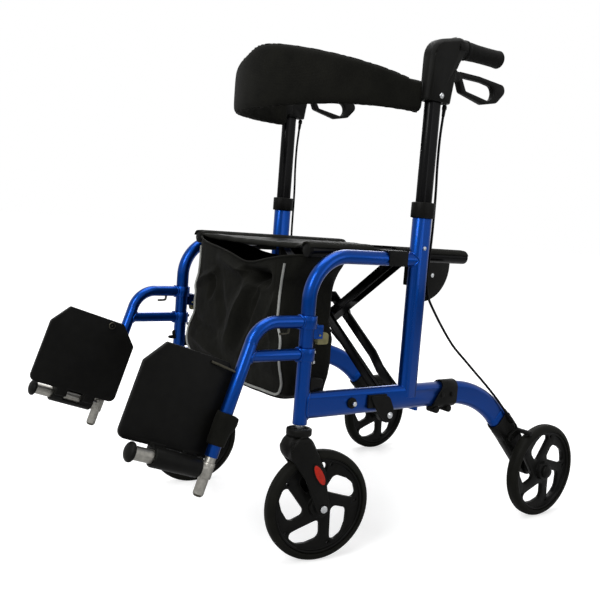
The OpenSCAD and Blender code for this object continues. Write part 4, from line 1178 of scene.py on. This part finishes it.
class ROLLATOR_OT_bag(bpy.types.Operator):
    """Hangs the slack cloth bag under the seat rails, with a bound mouth and pale piping round its front"""

    bl_idname = "rollator.bag"
    bl_label = "Bag"

    # Steps round its front, near side, back and far side, the share of v that is its floor, and the front's
    # width and height in millimetres
    spans = (110, 30, 50, 30)
    base = 0.16
    front_wide, front_high = 330, 256
    # Its floor's height, its front's distance from the front uprights, and half its mouth, in millimetres
    floor_z, front_y, mouth_half = 274, -1.3, 185.5

    def execute(self, context):
        around = sum(self.spans)
        bag = formed_sheet("slack_bag", around, 100, self.shape, "bag_nylon", (0.9, 0.38))
        thicken(bag, 0.0012, -1)
        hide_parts("under_seat_bag")
        mouth = [self.shape(k / around, 1) for k in range(around)]
        binding = curve_tube("bag_binding", mouth, 0.0045, "strap_webbing", 2, True)
        piping = curve_tube("bag_piping", self.piping_line(), sizes().piping_d, "piping_tape", 3)
        for piece in (bag, binding, piping):
            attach(piece, "left_frame")
            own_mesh(piece)
        return {"FINISHED"}

    def piping_line(self):
        """Down the near corner of the front, round along its bottom and up the far corner."""
        turn = [math.radians(9 * k) for k in range(11)]
        down = [(1, 0.95 - 0.82 * k / 30) for k in range(30)]
        near = [(1 - 0.07 * (1 - math.cos(a)), 0.13 - 0.10 * math.sin(a)) for a in turn]
        along = [(0.93 - 0.86 * k / 40, 0.03) for k in range(1, 40)]
        far = [(0.07 * (1 - math.sin(a)), 0.13 - 0.10 * math.cos(a)) for a in turn]
        up = [(0, 0.13 + 0.82 * k / 30) for k in range(1, 31)]
        corner = self.spans[0] / sum(self.spans)
        line = [
            self.shape(corner * across, self.base + (1 - self.base) * t, 0.0018)
            for across, t in down + near + along + far + up
        ]
        return smooth_path(line[::2], 3)

    def shape(self, u, v, proud=0.0):
        """Point of the bag: v runs from the middle of its floor out to the edge, then up to its mouth."""
        floor = min(1, v / self.base)
        t = max(0, (v - self.base) / (1 - self.base))
        side, front = box_outline(u, self.spans, 8)
        near = eased(t, [(0, 160), (0.05, 180), (0.18, 188), (0.4, 179), (0.57, 156), (0.8, 150), (1, 148)])
        far = eased(t, [(0, 160), (0.05, 182), (0.22, 198), (0.55, 182), (0.85, 178), (1, 178)])
        half = far + (near - far) * (0.5 + 0.5 * side)
        lean = eased(t, [(0, 6), (0.05, 0), (0.25, -12), (0.55, -6), (0.85, 0), (1, 0)])
        depth = 98 + 42 * t
        mouth = blended(t, 0.8, 1)
        grip = abs(side) ** 14
        x = side * (half + (self.mouth_half - half) * mouth * grip) * floor
        near_y, far_y = self.front_y + lean, self.front_y + depth
        y = (near_y + far_y) / 2 + front * (far_y - near_y) / 2 * floor
        # The floor sags a little, and the mouth hangs slack between the rails
        z = self.floor_z + self.front_high * t + 8 * mouth * abs(side) ** 8 - 5 * (1 - floor**2)
        slack = (1 - abs(side) ** 3) * mouth
        if front < 0:
            across = 0.5 + 0.5 * side
            z -= slack * (4 + 13 * math.exp(-(((across - 0.6) / 0.2) ** 2)))
            z += 15 * mouth * max(0, 1 - across / 0.55) ** 1.2
            fade = min(1, (1 - side**4) * 2) * blended(-front, 0.3, 0.9)
            y -= self.fold(across, t) * fade * floor
        else:
            z -= slack * 9
        if abs(side) > 0.8:
            pleat = 3.5 * math.sin(front * 5 + t * 3) * blended(abs(side), 0.8, 1) * blended(t, 0.1, 0.5)
            x -= math.copysign(pleat * (1 - mouth) + 2, side) * floor
        wrinkle = noise.noise(Vector((x / 30, y / 30, z / 42))) * 2.0
        wrinkle += noise.noise(Vector((x / 9, y / 9, z / 13))) * 0.5
        out = Vector((side, front, 0)).normalized() * (wrinkle * (1 - mouth) + proud / MM)
        return at(x + out.x * floor, y + out.y * floor, z)

    def fold(self, across, t):
        """How far the front's folds bring a point out, in millimetres."""
        spot = Vector((across * self.front_wide, t * self.front_high))
        total = 0
        for line, wide, crisp in BAG_FOLDS:
            best, out = 1, 0
            for (a0, t0, out0), (a1, t1, out1) in zip(line, line[1:]):
                head = Vector((a0 * self.front_wide, t0 * self.front_high))
                tail = Vector((a1 * self.front_wide, t1 * self.front_high))
                along = max(0, min(1, (spot - head).dot(tail - head) / (tail - head).length_squared))
                apart = (spot - head - (tail - head) * along).length / wide
                if apart < best:
                    best, out = apart, out0 + (out1 - out0) * along
            total += out * ((1 - best) ** 1.4 if crisp else (1 - best**2) ** 2)
        return max(-40, min(20, total))


class ROLLATOR_OT_small_fittings(bpy.types.Operator):
    """Adds the screws, nuts, buttons, plugs, clips, rods and pins that hold and lock the chair"""

    bl_idname = "rollator.small_fittings"
    bl_label = "Small fittings"

    # Turned heads on the outer sides: name, body, place and profile of radius and height
    heads = [
        (
            "housing_screw", "handle", (246, 256, 845),
            [(0, 3), (2.6, 2.6), (4.6, 1.5), (5.3, 0.3), (5.3, -0.6)],
        ),
        ("snap_button", "frame", (244, 249, 564), [(0, 3.4), (2.4, 3), (3.6, 1.8), (3.9, 0), (3.9, -0.6)]),
        (
            "plate_bolt", "frame", (250, 193, 252),
            [(0, 3.8), (2.4, 3.4), (3.9, 2.1), (4.4, 1), (6, 0.8), (6.3, 0.3), (6.3, -0.6)],
        ),
        ("guard_screw", "frame", (216, 305, 512), [(0, 2.6), (2.6, 2.2), (4.2, 0.9), (4.5, -0.5)]),
    ]
    # The brace plate from the middle plane, and its corners back from the front uprights and up
    plate_x = 248.5
    brace_plate = [(142, 291), (189, 289), (203, 262), (203, 241), (184, 239), (160, 262)]
    rail_plug = [(0, 3.2), (9, 2.6), (11.8, 1), (12.3, -1), (12.3, -3)]
    # Bent rods: the stop for the footplate, and the pin that hangs from the hanger's upper bar
    rods = [
        ("stop_rod", 0.0044, [(230, -137, 346), (228, -148, 351), (222, -164, 358), (218, -176, 363)]),
        ("lock_pin", 0.0045, [(230, -38, 421), (230, -38, 412), (230, -41, 408), (230, -56, 407)]),
    ]
    plate_screw = [(0, 2.2), (1.8, 2.2), (2, 1.2), (5, 1.2), (5.2, 2.4), (6.6, 2.4), (7.2, 1.8), (7.2, -0.6)]

    def execute(self, context):
        for side, sign in SIDES.items():
            self.fasteners(side, sign)
            self.rail_plugs(side, sign)
            self.upright_clip(side, sign)
            self.footrest(side, sign)
        return {"FINISHED"}

    def fasteners(self, side, sign):
        """Screws, bolts and nuts, with the plate that takes the brace's pivot."""
        out = (sign, 0, 0)
        for name, body, (x, y, z), profile in self.heads:
            head = turned(f"{side}_{name}", profile, at(sign * x, y, z), out, "zinc_plate")
            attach(head, f"{side}_{body}")
        outline = [at(sign * self.plate_x, y, z) for y, z in self.brace_plate]
        plate = cut_plate(f"{side}_brace_plate", outline, 3, 7, "black_nylon")
        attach(plate, f"{side}_frame")
        nut = hex_head(f"{side}_rail_nut", 8, 3.5, at(sign * 249, *RAIL_BOLT), out, "zinc_plate")
        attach(nut, f"{side}_frame")
        for k, z in enumerate((374, 356)):
            place = at(sign * TRACK, 16.5, z)
            hinge = hex_head(f"{side}_hinge_nut_{k}", 7, 4, place, (0, 1, 0), "zinc_plate")
            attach(hinge, f"{side}_hanger")

    def rail_plugs(self, side, sign):
        """Caps in both ends of a seat rail."""
        for end, y, way in (("front", 14, -1), ("rear", 411, 1)):
            place = at(sign * RAIL_X, y, RAIL_Z)
            cap = turned(f"{side}_{end}_rail_plug", self.rail_plug, place, (0, way, 0), "black_nylon")
            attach(cap, "cross_arm_b" if side == "left" else "cross_arm_a")

    def upright_clip(self, side, sign):
        """Clip that holds the bag's lower corner to the front upright; the right one has a catch ahead."""
        # Each block's name, its middle back and up, and its size, in millimetres
        blocks = [("rear", 25, 319, (19, 30, 23))]
        if side == "right":
            blocks += [("catch", -18, 327, (12, 16, 9)), ("catch_tab", -14, 336, (9, 7, 14))]
        for part, y, z, size in blocks:
            bm = bmesh.new()
            bmesh.ops.create_cube(bm, size=1)
            bmesh.ops.scale(bm, vec=Vector(size) * MM, verts=bm.verts)
            tail = [vert for vert in bm.verts if vert.co.y * y > 0]
            bmesh.ops.scale(bm, vec=(0.7, 1, 0.6), verts=tail)
            bmesh.ops.bevel(
                bm, geom=bm.edges[:], offset=0.0025, affect="EDGES", segments=3, profile=0.5, material=-1
            )
            bmesh.ops.translate(bm, vec=at(sign * TRACK, y, z), verts=bm.verts)
            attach(smooth(new_piece(f"{side}_{part}_clip", bm, "black_nylon"), 30), f"{side}_frame")

    def footrest(self, side, sign):
        """Rods on the hanger, and the screw on the footplate with a dark ring in its head."""
        for name, diameter, points in self.rods:
            line = smooth_path(mirrored([at(*point) for point in points], sign), 6)
            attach(curve_tube(f"{side}_{name}", line, diameter, "dull_steel"), f"{side}_hanger")
        middle = at(sign * 206, -167, 357)
        screw = turned(f"{side}_plate_screw", self.plate_screw, middle, (-sign, 0, 0), "dull_steel")
        recolour(screw, "black_nylon", lambda c: 0.0025 < (c - middle).yz.length < 0.005)
        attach(screw, f"{side}_foot")


class ROLLATOR_PT_panel(bpy.types.Panel):
    """Lists the sizes, colours and makers of the chair"""

    bl_idname = "ROLLATOR_PT_panel"
    bl_label = "Rollator"
    bl_space_type = "VIEW_3D"
    bl_region_type = "UI"
    bl_category = "Rollator"

    def draw(self, context):
        layout = self.layout
        for group in (context.scene.rollator_sizes, context.scene.rollator_colours):
            for name in group.__annotations__:
                layout.prop(group, name)
        for operator in OPERATORS:
            layout.operator(operator.bl_idname)


OPERATORS = [
    ROLLATOR_OT_stage,
    ROLLATOR_OT_brake_cables,
    ROLLATOR_OT_enamelled_tubes,
    ROLLATOR_OT_weld_beads,
    ROLLATOR_OT_moulded_parts,
    ROLLATOR_OT_reflectors,
    ROLLATOR_OT_wheels,
    ROLLATOR_OT_grips,
    ROLLATOR_OT_leg_cuffs,
    ROLLATOR_OT_bright_parts,
    ROLLATOR_OT_seat_cloth,
    ROLLATOR_OT_backrest,
    ROLLATOR_OT_bag,
    ROLLATOR_OT_small_fittings,
]
CLASSES = [RollatorSizes, RollatorColours, *OPERATORS, ROLLATOR_PT_panel]


def register():
    """Registers the classes and their settings."""
    for cls in CLASSES:
        bpy.utils.register_class(cls)
    bpy.types.Scene.rollator_sizes = bpy.props.PointerProperty(type=RollatorSizes)
    bpy.types.Scene.rollator_colours = bpy.props.PointerProperty(type=RollatorColours)


def unregister():
    """Takes the classes and their settings away."""
    del bpy.types.Scene.rollator_colours
    del bpy.types.Scene.rollator_sizes
    for cls in reversed(CLASSES):
        bpy.utils.unregister_class(cls)


def main():
    """Makes every piece in order."""
    register()
    for operator in OPERATORS:
        group, name = operator.bl_idname.split(".")
        getattr(getattr(bpy.ops, group), name)()


if __name__ == "__main__":
    main()
